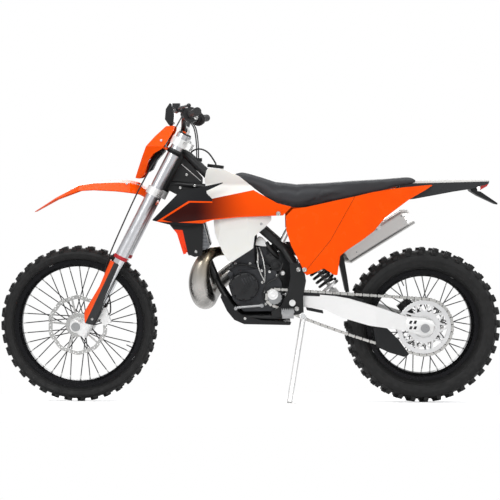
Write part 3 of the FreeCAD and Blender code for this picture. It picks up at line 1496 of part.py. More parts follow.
def shock_body():
    top, low = shock_ends()
    line = low - top
    eye_half = shock_eye_half
    pieces = [
        rod(top + line * 0.12, top + line * 0.55, shock_body_radius),
        rod(top + line * 0.02, top + line * 0.14, eye_half * 0.9),
        rod(top + line * 0.5, low, shock_body_radius * 0.36),
        rod(top + line * 0.14, top + line * 0.19, shock_spring_radius + shock_wire_radius),
        rod(low - line * 0.14, low - line * 0.10, shock_spring_radius + shock_wire_radius),
        Part.makeCylinder(shock_body_radius * 0.7, 2 * eye_half, low - left * eye_half, left),
        Part.makeCylinder(shock_body_radius * 0.8, 2 * eye_half, top - left * eye_half, left),
    ]
    holes = []
    for end in (top, low):
        holes.append(Part.makeCylinder(shock_pin_radius + seat_gap, 4 * eye_half, end - left * 2 * eye_half, left))
    return one(fused(pieces).cut(holes))


def shock_spring():
    top, low = shock_ends()
    line = low - top
    start = top + line * 0.19
    length = (line * 0.67).Length - 2 * seat_gap
    height = length - 2 * shock_wire_radius
    helix = Part.makeHelix(height / shock_turns, height, shock_spring_radius)
    ring = Part.Wire(Part.makeCircle(shock_wire_radius, V(shock_spring_radius, 0, 0), V(0, 1, 0)))
    coil = Part.Wire(helix).makePipeShell([ring], True, True)
    axis_turn = FreeCAD.Rotation(V(0, 0, 1), line)
    direction = FreeCAD.Vector(line)
    direction.normalize()
    coil.Placement = FreeCAD.Placement(start + direction * (shock_wire_radius + seat_gap), axis_turn)
    return coil


# Controls at the feet

peg_px = (287.8, 312.6)
peg_inner = 122.0
peg_length = 112.0
peg_half_depth = 24.0
peg_height = 16.0
peg_teeth = 6


def footpegs():
    """Two open footpegs with toothed edges, each on a bracket from the frame."""
    pieces = []
    x, z = photo(peg_px, peg_inner)
    for side in (1, -1):
        low, high = sorted((side * peg_inner, side * (peg_inner + peg_length)))
        frame = Part.makeBox(2 * peg_half_depth, high - low, peg_height, V(x - peg_half_depth, low, z - peg_height / 2))
        hole = Part.makeBox(2 * peg_half_depth - 4 * soft_edge, high - low - 6 * soft_edge, overrun * 4, V(x - peg_half_depth + 2 * soft_edge, low + 3 * soft_edge, z - overrun * 2))
        bar = Part.makeBox(soft_edge, high - low, peg_height * 0.6, V(x - soft_edge / 2, low, z - peg_height / 2))
        peg = frame.cut(hole).fuse(bar)
        notch_pitch = peg_length / peg_teeth
        notches = []
        for k in range(peg_teeth):
            notches.append(Part.makeBox(overrun * 10, notch_pitch / 2, overrun, V(x - overrun * 5, low + notch_pitch * (k + 0.25), z + peg_height / 2 - soft_edge)))
        peg = peg.cut(notches)
        in_low, in_high = sorted((side * (pivot_plate_outer + seat_gap), side * (peg_inner + soft_edge)))
        lug = Part.makeBox(overrun, in_high - in_low, peg_height, V(x - overrun / 2, in_low, z - peg_height / 2))
        pieces.append(one(peg.fuse(lug)))
    return Part.makeCompound(pieces)


# Side stand, worked out in the parked attitude so that its foot lies on the floor

lean = math.radians(lean_deg)


def lowest_reach(carcass_shares, half_width, radius):
    """Height of the axle over the floor when the wheel leans on the edge of a crown lug."""
    low, high = lug_cover_shares
    lug_half = half_width * carcass_shares[0][0] * (high - low) * lug_tip_share
    return lug_half * math.sin(lean) + radius * math.cos(lean)


front_axle_height = lowest_reach(front_carcass_shares, front_tyre_half_width, front_tyre_radius)
rear_axle_height = lowest_reach(rear_carcass_shares, rear_tyre_half_width, rear_tyre_radius)
axle_rise = (front_tyre_radius - rear_tyre_radius) * math.cos(lean)
nose_up = math.asin((front_axle_height - rear_axle_height - axle_rise) / wheelbase)
wheel_turn_deg = math.degrees(math.atan(math.tan(nose_up) / math.cos(lean)))


def parked_rotation():
    return FreeCAD.Rotation(V(0, 1, 0), -math.degrees(nose_up)).multiply(FreeCAD.Rotation(V(1, 0, 0), -lean_deg))


parked = FreeCAD.Placement(V(0, 0, 0), parked_rotation())
parked.Base = V(0, 0, rear_axle_height - parked.multVec(rear_axle).z)


def upright_point(point):
    """A point of the parked bike as the upright bike has it."""
    return parked.inverse().multVec(point)


stand_pivot = at_side(photo(stand_pivot_px, stand_pivot_side), stand_pivot_side)
stand_pivot_parked = parked.multVec(stand_pivot)
stand_foot_parked = V(stand_pivot_parked.x + stand_foot_ahead, stand_pivot_parked.y + stand_foot_out, 0)
stand_foot = upright_point(stand_foot_parked)


def stand_axis():
    """The hinge line: of all lines that carry the open leg onto the folded one, one that lies well across the bike."""
    opened = stand_foot - stand_pivot
    opened.normalize()
    folded = V(*stand_folded_direction_shares)
    folded.normalize()
    square = opened.cross(folded)
    square.normalize()
    between = opened + folded
    between.normalize()
    turn = math.radians(stand_axis_turn_deg)
    axis = square * math.cos(turn) + between * math.sin(turn)
    in_plane_a = opened - axis * opened.dot(axis)
    in_plane_b = folded - axis * folded.dot(axis)
    swing = math.degrees(in_plane_a.getAngle(in_plane_b))
    return axis, swing


def side_stand():
    """The leg and its foot plate, with the eye that turns on the hinge pin."""
    axis, swing = stand_axis()
    floor_up = parked.inverse().Rotation.multVec(V(0, 0, 1))
    foot_top = stand_foot + floor_up * stand_foot_thickness
    leg = rod(stand_pivot, foot_top, stand_tube_radius)
    eye_half = stand_tube_radius * 1.3
    eye = Part.makeCylinder(stand_tube_radius * 1.3, 2 * eye_half, stand_pivot - axis * eye_half, axis)
    plate = Part.makeBox(stand_foot_length, stand_foot_width, stand_foot_thickness, V(-stand_foot_length / 2, -stand_foot_width / 2, 0))
    plate.Placement = parked.inverse().multiply(FreeCAD.Placement(stand_foot_parked, FreeCAD.Rotation()))
    body = leg.fuse([eye, plate])
    below = Part.makeBox(overrun * 10, overrun * 10, overrun * 5, V(-overrun * 5, -overrun * 5, -overrun * 5))
    below.Placement = plate.Placement
    hole = Part.makeCylinder(stand_pin_radius + running_clearance, 4 * stand_tube_radius, stand_pivot - axis * 2 * stand_tube_radius, axis)
    return one(body.cut([below, hole]))


def stand_bracket():
    """The clevis on the frame that holds the stand's pin."""
    axis, swing = stand_axis()
    eye_half = stand_tube_radius * 1.3
    cheek = stand_tube_radius * 0.5
    pin_half = eye_half + cheek + seat_gap
    pin = Part.makeCylinder(stand_pin_radius, 2 * pin_half, stand_pivot - axis * pin_half, axis)
    root = at_side((stand_pivot.x + overrun * 0.7, stand_pivot.z + overrun * 1.1), pivot_plate_outer - overrun)
    pieces = [pin]
    for sign in (1, -1):
        face = stand_pivot + axis * (sign * (eye_half + seat_gap) - (cheek if sign < 0 else 0))
        pieces.append(Part.makeCylinder(stand_tube_radius, cheek, face, axis))
    inner_cheek = stand_pivot - axis * (eye_half + seat_gap + cheek)
    pieces.append(rod(root, inner_cheek, stand_tube_radius * 0.6))
    inside = Part.makeBox(overrun * 10, pivot_plate_outer + seat_gap, overrun * 10, V(stand_pivot.x - overrun * 5, 0, stand_pivot.z - overrun * 5))
    return one(fused(pieces).cut(inside))


# Fork and what steers

def fork_bar(side, low, high, radius, ahead=0.0):
    start = fork_point(low, clamp_offset + ahead, side)
    end = fork_point(high, clamp_offset + ahead, side)
    return rod(start, end, radius)


def fork_outer(side):
    """The upper fork tube: slim through the clamps, thicker below them, with a seal ring at its end."""
    s = side * fork_spread
    thick_top = lower_clamp_up - clamp_height / 2
    pieces = [
        fork_bar(s, thick_top - overrun, fork_top_up, fork_upper_radius),
        fork_bar(s, fork_sleeve_end_up, thick_top, fork_lower_radius),
    ]
    bore = fork_bar(s, fork_sleeve_end_up - overrun, fork_top_up - overrun, fork_inner_radius + seat_gap)
    return one(fused(pieces).cut(bore))


def fork_seal_rings():
    rings = []
    for side in (1, -1):
        s = side * fork_spread
        low = fork_sleeve_end_up - overrun * 0.7
        ring = fork_bar(s, low, fork_sleeve_end_up - seat_gap, fork_lower_radius + soft_edge)
        rings.append(ring.cut(fork_bar(s, low - overrun, fork_sleeve_end_up + overrun, fork_inner_radius + seat_gap)))
    return Part.makeCompound(rings)


def fork_inner(side):
    """The polished lower fork tube."""
    return fork_bar(side * fork_spread, axle_radius * 3.2, fork_sleeve_end_up + overrun * 4, fork_inner_radius)


def fork_foot(side):
    """The cast foot that holds the lower tube and, ahead of it, the axle."""
    s = side * fork_spread
    half = fork_inner_radius + soft_edge
    barrel = fork_bar(s, fork_inner_bottom_up, axle_radius * 6, half)
    axle_side = V(front_axle.x, s - half * 0.9, front_axle.z)
    lug = Part.makeCylinder(axle_radius * 2, half * 1.8, axle_side, left)
    web = Part.makeBox(axle_lead, half * 1.6, axle_radius * 3.4)
    web.translate(V(0, -half * 0.8, -axle_radius * 1.7))
    web.Placement = slanted_frame(fork_point(0, clamp_offset, s), V(front_axle.x, s, front_axle.z)).multiply(web.Placement)
    body = fused([barrel, lug, web])
    socket = fork_bar(s, axle_radius * 3.2 - seat_gap, overrun * 20, fork_inner_radius + seat_gap)
    hole = Part.makeCylinder(axle_radius + seat_gap, overrun * 20, V(front_axle.x, s - overrun * 10, front_axle.z), left)
    return one(body.cut([socket, hole]))


def front_axle_bolt():
    half = fork_inner_radius + soft_edge
    span = fork_spread + half * 0.9 + seat_gap
    body = Part.makeCylinder(axle_radius, 2 * span, V(front_axle.x, -span, front_axle.z), left)
    head = Part.makeCylinder(axle_nut_radius, soft_edge, V(front_axle.x, span, front_axle.z), left)
    collars = []
    foot_inner = fork_spread - half * 0.9 - seat_gap
    for side in (1, -1):
        low, high = sorted((side * (front_hub_half_width + seat_gap), side * foot_inner))
        collars.append(disc_at((front_axle.x, front_axle.z), low, high, collar_radius))
    return one(body.fuse([head] + collars))


def fork_frame(up, ahead):
    """Placement whose X runs ahead square to the fork, with Z up along it."""
    place = FreeCAD.Placement(FreeCAD.Matrix(
        ahead_fork.x, 0, up_fork.x, 0,
        ahead_fork.y, 1, up_fork.y, 0,
        ahead_fork.z, 0, up_fork.z, 0,
        0, 0, 0, 1,
    ))
    place.Base = fork_point(up, ahead)
    return place


def clamp_ear(side):
    """The pair of ears behind a fork tube that the pinch bolts draw together."""
    reach = fork_upper_radius + clamp_ring_wall + clamp_ear_reach
    width = clamp_ring_wall * 2 + clamp_slot
    ear = Part.makeBox(reach, width, clamp_height * 0.85)
    ear.translate(V(-reach, side * fork_spread - width / 2, -clamp_height * 0.85 / 2))
    ear.Placement = fork_frame(upper_clamp_up, clamp_offset).multiply(ear.Placement)
    return ear


def clamp_plate(centre_up, ring_wall):
    """A fork clamp: a waisted bridge with a split ring round each tube and a boss for the stem."""
    low = centre_up - clamp_height / 2
    ring_radius = fork_upper_radius + ring_wall
    pieces = []
    for side in (1, -1):
        pieces.append(fork_bar(side * fork_spread, low, low + clamp_height, ring_radius))
    boss = rod(fork_point(low), fork_point(low + clamp_height), head_tube_radius)
    pieces.append(boss)
    bridge = Part.makeBox(clamp_height * 1.5, 2 * fork_spread, clamp_height * 0.7, V(-clamp_height * 0.6, -fork_spread, 0))
    bridge.Placement = fork_frame(low + clamp_height * 0.15, clamp_offset / 2)
    pieces.append(bridge)
    body = fused(pieces)
    holes = []
    for side in (1, -1):
        holes.append(fork_bar(side * fork_spread, low - overrun, low + clamp_height + overrun, fork_upper_radius + seat_gap))
    return one(body.cut(holes))


def lower_clamp():
    """The lower clamp with the steering stem standing in it."""
    body = clamp_plate(lower_clamp_up, lower_ring_wall)
    stem_top = upper_clamp_up - clamp_height / 2 - seat_gap
    stem = rod(fork_point(lower_clamp_up), fork_point(stem_top), stem_radius)
    return one(body.fuse(stem))


def upper_clamp():
    """The upper clamp with the stem nut and the two bar mounts on it."""
    body = clamp_plate(upper_clamp_up, clamp_ring_wall).fuse([clamp_ear(1), clamp_ear(-1)])
    gaps = []
    for side in (1, -1):
        gap = Part.makeBox(clamp_ear_reach * 4, clamp_slot, clamp_height * 2)
        gap.translate(V(-clamp_ear_reach * 4, side * fork_spread - clamp_slot / 2, -clamp_height))
        gap.Placement = fork_frame(upper_clamp_up, clamp_offset).multiply(gap.Placement)
        gaps.append(gap)
        gaps.append(fork_bar(side * fork_spread, upper_clamp_up - clamp_height, fork_top_up, fork_upper_radius + seat_gap))
    body = body.cut(gaps)
    top = upper_clamp_up + clamp_height / 2
    nut = rod(fork_point(top - soft_edge), fork_point(top + soft_edge * 2), stem_radius * 1.2)
    mounts = []
    for side in (1, -1):
        start = fork_point(top - soft_edge, clamp_offset, side * bar_clamp_half * 0.8)
        end = fork_point(bar_up, bar_ahead, side * bar_clamp_half * 0.8)
        mounts.append(rod(start, end, bar_clamp_radius))
        barrel = end - left * bar_clamp_radius * 1.15
        mounts.append(Part.makeCylinder(bar_clamp_radius + soft_edge * 1.5, 2.3 * bar_clamp_radius, barrel, left))
    body = fused([body, nut] + mounts)
    hole = Part.makeCylinder(bar_clamp_radius + seat_gap, overrun * 20, fork_point(bar_up, bar_ahead, -overrun * 10), left)
    return one(body.cut(hole))


def bar_points(side):
    """The bend of the handlebar, from its middle to its end."""
    middle = fork_point(bar_up, bar_ahead, 0)
    rise = V(0, 0, bar_rise)
    back = V(-bar_sweep_back, 0, 0)
    return [
        middle,
        middle + left * side * (bar_clamp_half + overrun),
        middle + left * side * bar_knee + rise * 0.72 + back * 0.1,
        middle + left * side * bar_half_width + rise + back,
    ]


def handlebar():
    half = bar_points(1)
    other = [V(p.x, -p.y, p.z) for p in reversed(half[1:])]
    bar = tube(other + half[1:], bar_radius, bar_bend)
    sleeve_half = bar_clamp_half + soft_edge
    sleeve = Part.makeCylinder(bar_clamp_radius, 2 * sleeve_half, half[0] - left * sleeve_half, left)
    return one(bar.fuse(sleeve))


def grips():
    """The two rubber grips with their inner flanges."""
    pieces = []
    for side in (1, -1):
        knee, end = bar_points(side)[2:]
        along = end - knee
        along.normalize()
        start = end - along * grip_length
        body = rod(start, end + along * soft_edge, grip_radius)
        flange = rod(start, start + along * grip_flange_width, grip_flange_radius)
        grip = body.fuse(flange)
        hole = rod(start - along * overrun, end + along * seat_gap, bar_radius + seat_gap)
        pieces.append(one(grip.cut(hole)))
    return Part.makeCompound(pieces)


lever_gap = 52.0
perch_length = 26.0
lever_length = 165.0
mirror_thread_radius = 5.0
mirror_thread_depth = 16.0


def perch_place(side):
    knee, end = bar_points(side)[2:]
    along = end - knee
    along.normalize()
    return end - along * (grip_length + perch_length + soft_edge), along


def mirror_boss(side):
    """Foot and mouth of the upright thread that a mirror screws into, in front of the bar."""
    place, along = perch_place(side)
    base = place + along * perch_length / 2 + V(bar_radius + mirror_thread_radius * 2, 0, 0)
    return base - V(0, 0, soft_edge), base + V(0, 0, mirror_thread_depth + soft_edge * 2.5)


def hand_controls(side):
    """Lever, its perch clamped round the bar and the master cylinder beside it."""
    place, along = perch_place(side)
    ring = rod(place, place + along * perch_length, bar_radius + soft_edge * 1.5)
    ahead = ahead_fork * lever_gap
    pivot_end = place + ahead + along * perch_length * 0.5
    arm = rod(place + along * perch_length * 0.5, pivot_end, soft_edge * 2)
    pump = rod(pivot_end - along * perch_length * 2.0, pivot_end, soft_edge * 3)
    lever = tube([
        pivot_end - along * soft_edge,
        pivot_end + along * lever_length * 0.25 + ahead_fork * soft_edge,
        pivot_end + along * lever_length - ahead_fork * soft_edge * 2,
    ], soft_edge * 1.3, overrun * 3)
    ball = Part.makeSphere(soft_edge * 2.2, pivot_end + along * lever_length - ahead_fork * soft_edge * 2)
    tank = Part.makeBox(perch_length * 1.2, perch_length, perch_length * 0.8)
    tank.translate(pivot_end - along * perch_length * 1.6 - V(perch_length * 0.6, perch_length / 2, -soft_edge * 2))
    base, top = mirror_boss(side)
    boss = rod(base, top, mirror_thread_radius * 2)
    body = fused([ring, arm, pump, lever, ball, tank, boss])
    hole = rod(place - along * overrun * 4, place + along * overrun * 4, bar_radius + seat_gap)
    thread = rod(top - V(0, 0, mirror_thread_depth), top + V(0, 0, overrun), mirror_thread_radius)
    return one(body.cut([hole, thread]))


# Front fender, headlight mask, instrument

fender_px = (
    (36.9, 207.9), (58.0, 194.5), (82.4, 181.2), (97.6, 178.7), (120.0, 177.6), (133.0, 178.0), (142.0, 180.6),
    (150.0, 187.5), (159.0, 198.0),
)
fender_half_width = 94.0
fender_half_shares = (0.28, 0.66, 0.89, 0.98, 1.0, 0.89, 0.64, 0.62, 0.60)
fender_drop_shares = (0.01, 0.085, 0.28, 0.36, 0.47, 0.53, 0.49, 0.36, 0.19)


def front_fender():
    """The high front mudguard: a long arched beak that starts behind the fork and comes to a point."""
    rings = []
    for px, drop_share, half_share in zip(fender_px, fender_drop_shares, fender_half_shares):
        x, top = fork_photo(px)
        drop = drop_share * fender_half_width
        half = half_share * fender_half_width
        mid_drop = drop * 0.22
        outer = [(-half, -drop), (-half * 0.72, -mid_drop), (0, 0), (half * 0.72, -mid_drop), (half, -drop)]
        t = panel_thickness
        points = [V(x, y, top + z) for y, z in outer]
        points = points + [V(x, y * (half - t) / half, top + z - t) for y, z in reversed(outer)]
        rings.append(Part.makePolygon(points + points[:1]))
    blade = Part.makeLoft(rings, True, True)
    clamp_bottom = lower_clamp_up - clamp_height / 2
    boss = rod(
        fork_point(clamp_bottom - overrun * 0.6, clamp_offset * 0.7),
        fork_point(clamp_bottom - seat_gap, clamp_offset * 0.7), subframe_radius,
    )
    return largest(blade.fuse(boss))


mask_px = (
    (169.5, 124.8), (158.8, 134.8), (150.3, 144.5), (146.0, 155.4), (142.4, 165.1), (138.6, 175.6),
    (143.0, 176.2), (147.9, 172.4), (152.7, 157.9), (157.6, 151.8), (166.0, 147.0), (170.3, 140.9), (177.0, 129.0), (178.0, 124.6),
)
mask_bar_px = (160.0, 142.0)
strap_radius = 6.0
mask_top_half = 60.0
mask_wide_half = 118.0
mask_low_half = 74.0


def headlight_mask(lamp):
    """The shield round the headlamp, hollow behind and open where the lamp looks out."""
    side = fork_photo_line(mask_px)
    heights = [z for x, z in side]
    low, high = min(heights), max(heights)
    rise = high - low
    front_left = [
        (mask_top_half, high + overrun), (mask_wide_half, low + rise * 0.62),
        (mask_wide_half * 0.94, low + rise * 0.45), (mask_low_half, low - overrun),
    ]
    front = front_left + [(-y, z) for y, z in reversed(front_left)]
    xs = [x for x, z in side]
    body = side_prism(side, -mask_wide_half, mask_wide_half, soft_edge)
    body = body.common(end_prism(front, min(xs) - overrun, max(xs) + overrun, soft_edge * 3))
    t = panel_thickness
    inner_front = [(y - math.copysign(t, y), z - t) for y, z in front]
    hollow = side_prism([(x - 2 * t, z) for x, z in side], -mask_wide_half, mask_wide_half)
    hollow = hollow.common(end_prism(inner_front, min(xs) - overrun * 3, max(xs) + overrun))
    skin = body.cut([hollow, lamp.makeOffsetShape(2 * seat_gap, running_clearance, join=2)])
    bar = disc_at(fork_photo(mask_bar_px), -2 * mask_wide_half, 2 * mask_wide_half, strap_radius).common(body)
    holders = [bar]
    x, z = fork_photo(mask_bar_px)
    up = (V(x, 0, z) - front_axle).dot(up_fork)
    for side in (1, -1):
        s = side * fork_spread
        strap = fork_bar(s, up - strap_radius, up + strap_radius, fork_upper_radius + soft_edge + seat_gap)
        bore = fork_bar(s, up - overrun, up + overrun, fork_upper_radius + seat_gap)
        arm = rod(fork_point(up, clamp_offset + fork_upper_radius + soft_edge / 2, s), V(x, s, z), strap_radius * 0.8)
        holders.append(strap.cut(bore))
        holders.append(arm.cut(bore))
    return largest(skin.cut(brake_line(brake_hose_radius + seat_gap)).fuse(holders))


lamp_px = ((150.5, 145.6), (145.6, 157.0), (143.0, 163.4), (147.0, 165.5), (153.6, 149.5))
lamp_half = 62.0


def headlamp():
    return side_prism(fork_photo_line(lamp_px), -lamp_half, lamp_half, soft_edge / 2)


instrument_px = ((173.5, 101.5), (176.5, 108.0), (176.0, 122.0), (172.0, 124.0), (168.0, 118.0), (169.0, 108.0))
instrument_half = 55.0
instrument_arm_side = 30.0
instrument_arm_radius = 5.0


def instrument(clamp, mask):
    """The speedometer's pod, on two arms from the front of the upper clamp."""
    outline = fork_photo_line(instrument_px)
    pod = side_prism(outline, -instrument_half, instrument_half, soft_edge)
    x, z = outline[3]
    arms = []
    for side in (1, -1):
        foot = fork_point(upper_clamp_up, clamp_offset, side * instrument_arm_side)
        arms.append(rod(foot, V(x, side * instrument_arm_side, z + instrument_arm_radius * 2), instrument_arm_radius))
    body = pod.fuse(arms).cut([clamp, clamp.translated(-ahead_fork * seat_gap), mask])
    return largest(body)


guard_px = ((115.5, 245.0), (122.0, 256.0), (104.5, 295.0), (98.5, 316.0), (95.0, 324.5), (84.0, 321.0), (83.0, 310.0), (99.0, 284.0), (110.0, 258.0))


def fork_guard(side):
    """The plastic shield clipped to the fork foot, curved round the front and outside of the polished tube."""
    leg = fork_spread
    inner = fork_inner_radius + soft_edge + moving_gap / 2
    top = fork_sleeve_end_up - 1.5 * overrun
    ring = fork_bar(leg, fork_inner_bottom_up, top, inner + panel_thickness)
    ring = ring.cut(fork_bar(leg, fork_inner_bottom_up - overrun, top + overrun, inner))
    pad = fork_bar(leg, 2 * axle_radius, 4 * axle_radius, inner + panel_thickness / 2)
    pad = pad.cut(fork_bar(leg, 0, 6 * axle_radius, fork_inner_radius + soft_edge + seat_gap))
    outline = fork_photo_line(guard_px, leg + inner)
    piece = largest(ring.fuse(pad).common(side_prism(outline, leg - axle_radius, leg + 2 * inner, soft_edge)))
    return piece if side > 0 else mirrored(piece)


# Brakes

front_caliper_deg = 162.0
rear_caliper_deg = 50.0
caliper_half = 19.0


def front_caliper():
    """The caliper astride the front disc, behind the left fork leg, with its bracket to the fork foot."""
    reach = front_disc_radius - disc_band * 0.4
    angle = math.radians(front_caliper_deg)
    centre = front_axle + V(reach * math.cos(angle), front_disc_offset, reach * math.sin(angle))
    half = caliper_half
    block = Part.makeBox(2 * half, 2 * half, 3.6 * half, V(-half, -half, -1.8 * half))
    block.rotate(V(0, 0, 0), left, -front_caliper_deg + 180)
    block.translate(centre)
    inner = fork_spread - half
    plate_start = V(centre.x, front_disc_offset + half / 2, centre.z)
    plate_end = fork_point(axle_radius * 4, clamp_offset, front_disc_offset + half / 2)
    arm = rod(plate_start, plate_end, half * 0.45)
    slot_low = front_disc_offset - disc_thickness / 2 - moving_gap / 4
    slot_width = disc_thickness + moving_gap / 2
    slot_radius = front_disc_radius + moving_gap / 2
    slot = Part.makeCylinder(slot_radius, slot_width, V(front_axle.x, slot_low, front_axle.z), left)
    foot_room = fork_bar(fork_spread, fork_inner_bottom_up, overrun * 10, fork_inner_radius + soft_edge + seat_gap)
    guard_room = fork_bar(fork_spread, axle_radius * 6, overrun * 10, fork_inner_radius + 2 * soft_edge + moving_gap)
    return largest(block.fuse(arm).cut([slot, foot_room, guard_room]))


def rear_caliper():
    """The caliper astride the rear disc and its bracket, which hangs on the axle inside the right arm."""
    reach = rear_disc_radius - disc_band * 0.4
    angle = math.radians(rear_caliper_deg)
    centre = rear_axle + V(reach * math.cos(angle), -rear_disc_offset, reach * math.sin(angle))
    half = caliper_half
    block = Part.makeBox(2 * half, 1.6 * half, 3.4 * half, V(-half, -0.8 * half, -1.7 * half))
    block.rotate(V(0, 0, 0), left, -rear_caliper_deg)
    block.translate(centre)
    outer = -swingarm_inner_rear + seat_gap
    ring = disc_at((0, rear_tyre_radius), outer, outer + soft_edge, axle_radius * 2)
    arm = Part.makeBox(reach, soft_edge * 2.4, 1.6 * axle_radius, V(0, outer, -0.8 * axle_radius))
    collar_room = disc_at((0, 0), outer + soft_edge, outer + overrun, axle_radius * 2.2)
    arm = arm.cut(collar_room)
    arm.rotate(V(0, 0, 0), left, -rear_caliper_deg)
    arm.translate(rear_axle)
    body = block.fuse([ring, arm])
    slot_low = -rear_disc_offset - disc_thickness / 2 - moving_gap / 4
    slot_width = disc_thickness + moving_gap / 2
    slot_radius = rear_disc_radius + moving_gap / 2
    slot = Part.makeCylinder(slot_radius, slot_width, V(0, slot_low, rear_axle.z), left)
    hole = disc_at((0, rear_tyre_radius), outer - overrun, outer + overrun, axle_radius + seat_gap)
    return largest(body.cut([slot, hole]))


brake_hose_radius = 3.2
brake_hose_route = (
    (952.0, 84.0, -176.0), (908.0, 82.0, -118.0), (874.0, 80.0, -60.0), (858.0, 78.0, 0.0), (838.0, 77.0, 54.0),
    (796.0, 78.0, 92.0), (730.0, 82.0, 106.0), (650.0, 84.0, 108.0), (570.0, 82.0, 108.0), (490.0, 78.0, 108.0),
    (410.0, 74.0, 108.0), (345.0, 70.0, 100.0), (292.0, 64.0, 82.0), (246.0, 50.0, 68.0), (206.0, 22.0, 63.0),
    (172.0, -10.0, 66.0), (136.0, -36.0, 72.0), (100.0, -50.0, 76.0),
)
brake_hose_bend = 120.0


def brake_line(radius):
    """The front brake hose's run: master cylinder, behind the mask, down the left leg, caliper."""
    place, along = perch_place(-1)
    pivot_end = place + ahead_fork * lever_gap + along * perch_length * 0.5
    route = [pivot_end - along * (perch_length * 2.0 + seat_gap)]
    for up, ahead, side in brake_hose_route:
        route.append(fork_point(up, ahead, side))
    route.append(front_caliper().CenterOfMass + V(0, 0, caliper_half))
    return tube(route, radius, brake_hose_bend)


def brake_hose(caliper, controls):
    return largest(brake_line(brake_hose_radius).cut([caliper, controls]))


shift_shaft_px = (262.0, 304.5)
shift_tip_px = (236.0, 306.5)
shift_side = 108.0
shift_toe_length = 34.0
pedal_pivot_px = (276.0, 313.0)
pedal_tip_px = (243.0, 308.0)
pedal_side = -142.0
foot_lever_radius = 5.5


def foot_levers():
    """The gear lever on the left and the rear brake pedal on the right."""
    shaft = at_side(photo(shift_shaft_px, shift_side), shift_side)
    tip = at_side(photo(shift_tip_px, shift_side), shift_side)
    lever = rod(shaft, tip, foot_lever_radius)
    boss = rod(V(shaft.x, crank_half_width + seat_gap, shaft.z), shaft + left * foot_lever_radius * 1.4, foot_lever_radius * 1.5)
    toe = rod(tip - left * foot_lever_radius * 1.4, tip + left * shift_toe_length, foot_lever_radius * 1.3)
    pedal_pivot = at_side(photo(pedal_pivot_px), pedal_side)
    pedal_tip = at_side(photo(pedal_tip_px), pedal_side)
    pedal = rod(pedal_pivot, pedal_tip, foot_lever_radius)
    hub_end = at_side((pedal_pivot.x, pedal_pivot.z), -pivot_plate_outer - seat_gap)
    pedal_boss = rod(pedal_pivot - left * foot_lever_radius * 1.4, hub_end, foot_lever_radius * 1.6)
    pad = rod(pedal_tip + left * foot_lever_radius * 1.4, pedal_tip - left * shift_toe_length * 0.6, foot_lever_radius * 1.6)
    return Part.makeCompound([fused([lever, boss, toe]), fused([pedal, pedal_boss, pad])])


def rolled(shape):
    """The wheel part rolled on until the lug that points down lies flat on the floor."""
    shape.rotate(V(0, 0, 0), left, wheel_turn_deg)
    return shape


def placed(shape, point):
    shape.translate(point)
    return shape


def rear_hub():
    """The rear hub, with a carrier ring for the sprocket on its left and one for the disc on its right."""
    sprocket_face = chain_line - sprocket_thickness / 2 - seat_gap
    disc_face = -rear_disc_offset + disc_thickness / 2 + seat_gap
    carriers = (
        (rear_hub_half_width - 2 * soft_edge, sprocket_face, rear_flange_radius + sprocket_band),
        (disc_face, disc_face + 2 * soft_edge, disc_carrier_radius),
    )
    return hub(rear_hub_half_width, rear_flange_radius, rear_flange_offset, rear_barrel_radius, carriers)


def front_hub():
    """The front hub, with the carrier ring that its disc bolts to."""
    disc_face = front_disc_offset - disc_thickness / 2 - seat_gap
    carriers = ((disc_face - 2 * soft_edge, disc_face, disc_carrier_radius),)
    return hub(front_hub_half_width, front_flange_radius, front_flange_offset, front_barrel_radius, carriers)


def rear_sprocket():
    plate = sprocket(rear_teeth, sprocket_thickness, rear_flange_radius, rear_sprocket_windows)
    return placed(plate, rear_axle + V(0, chain_line, 0))


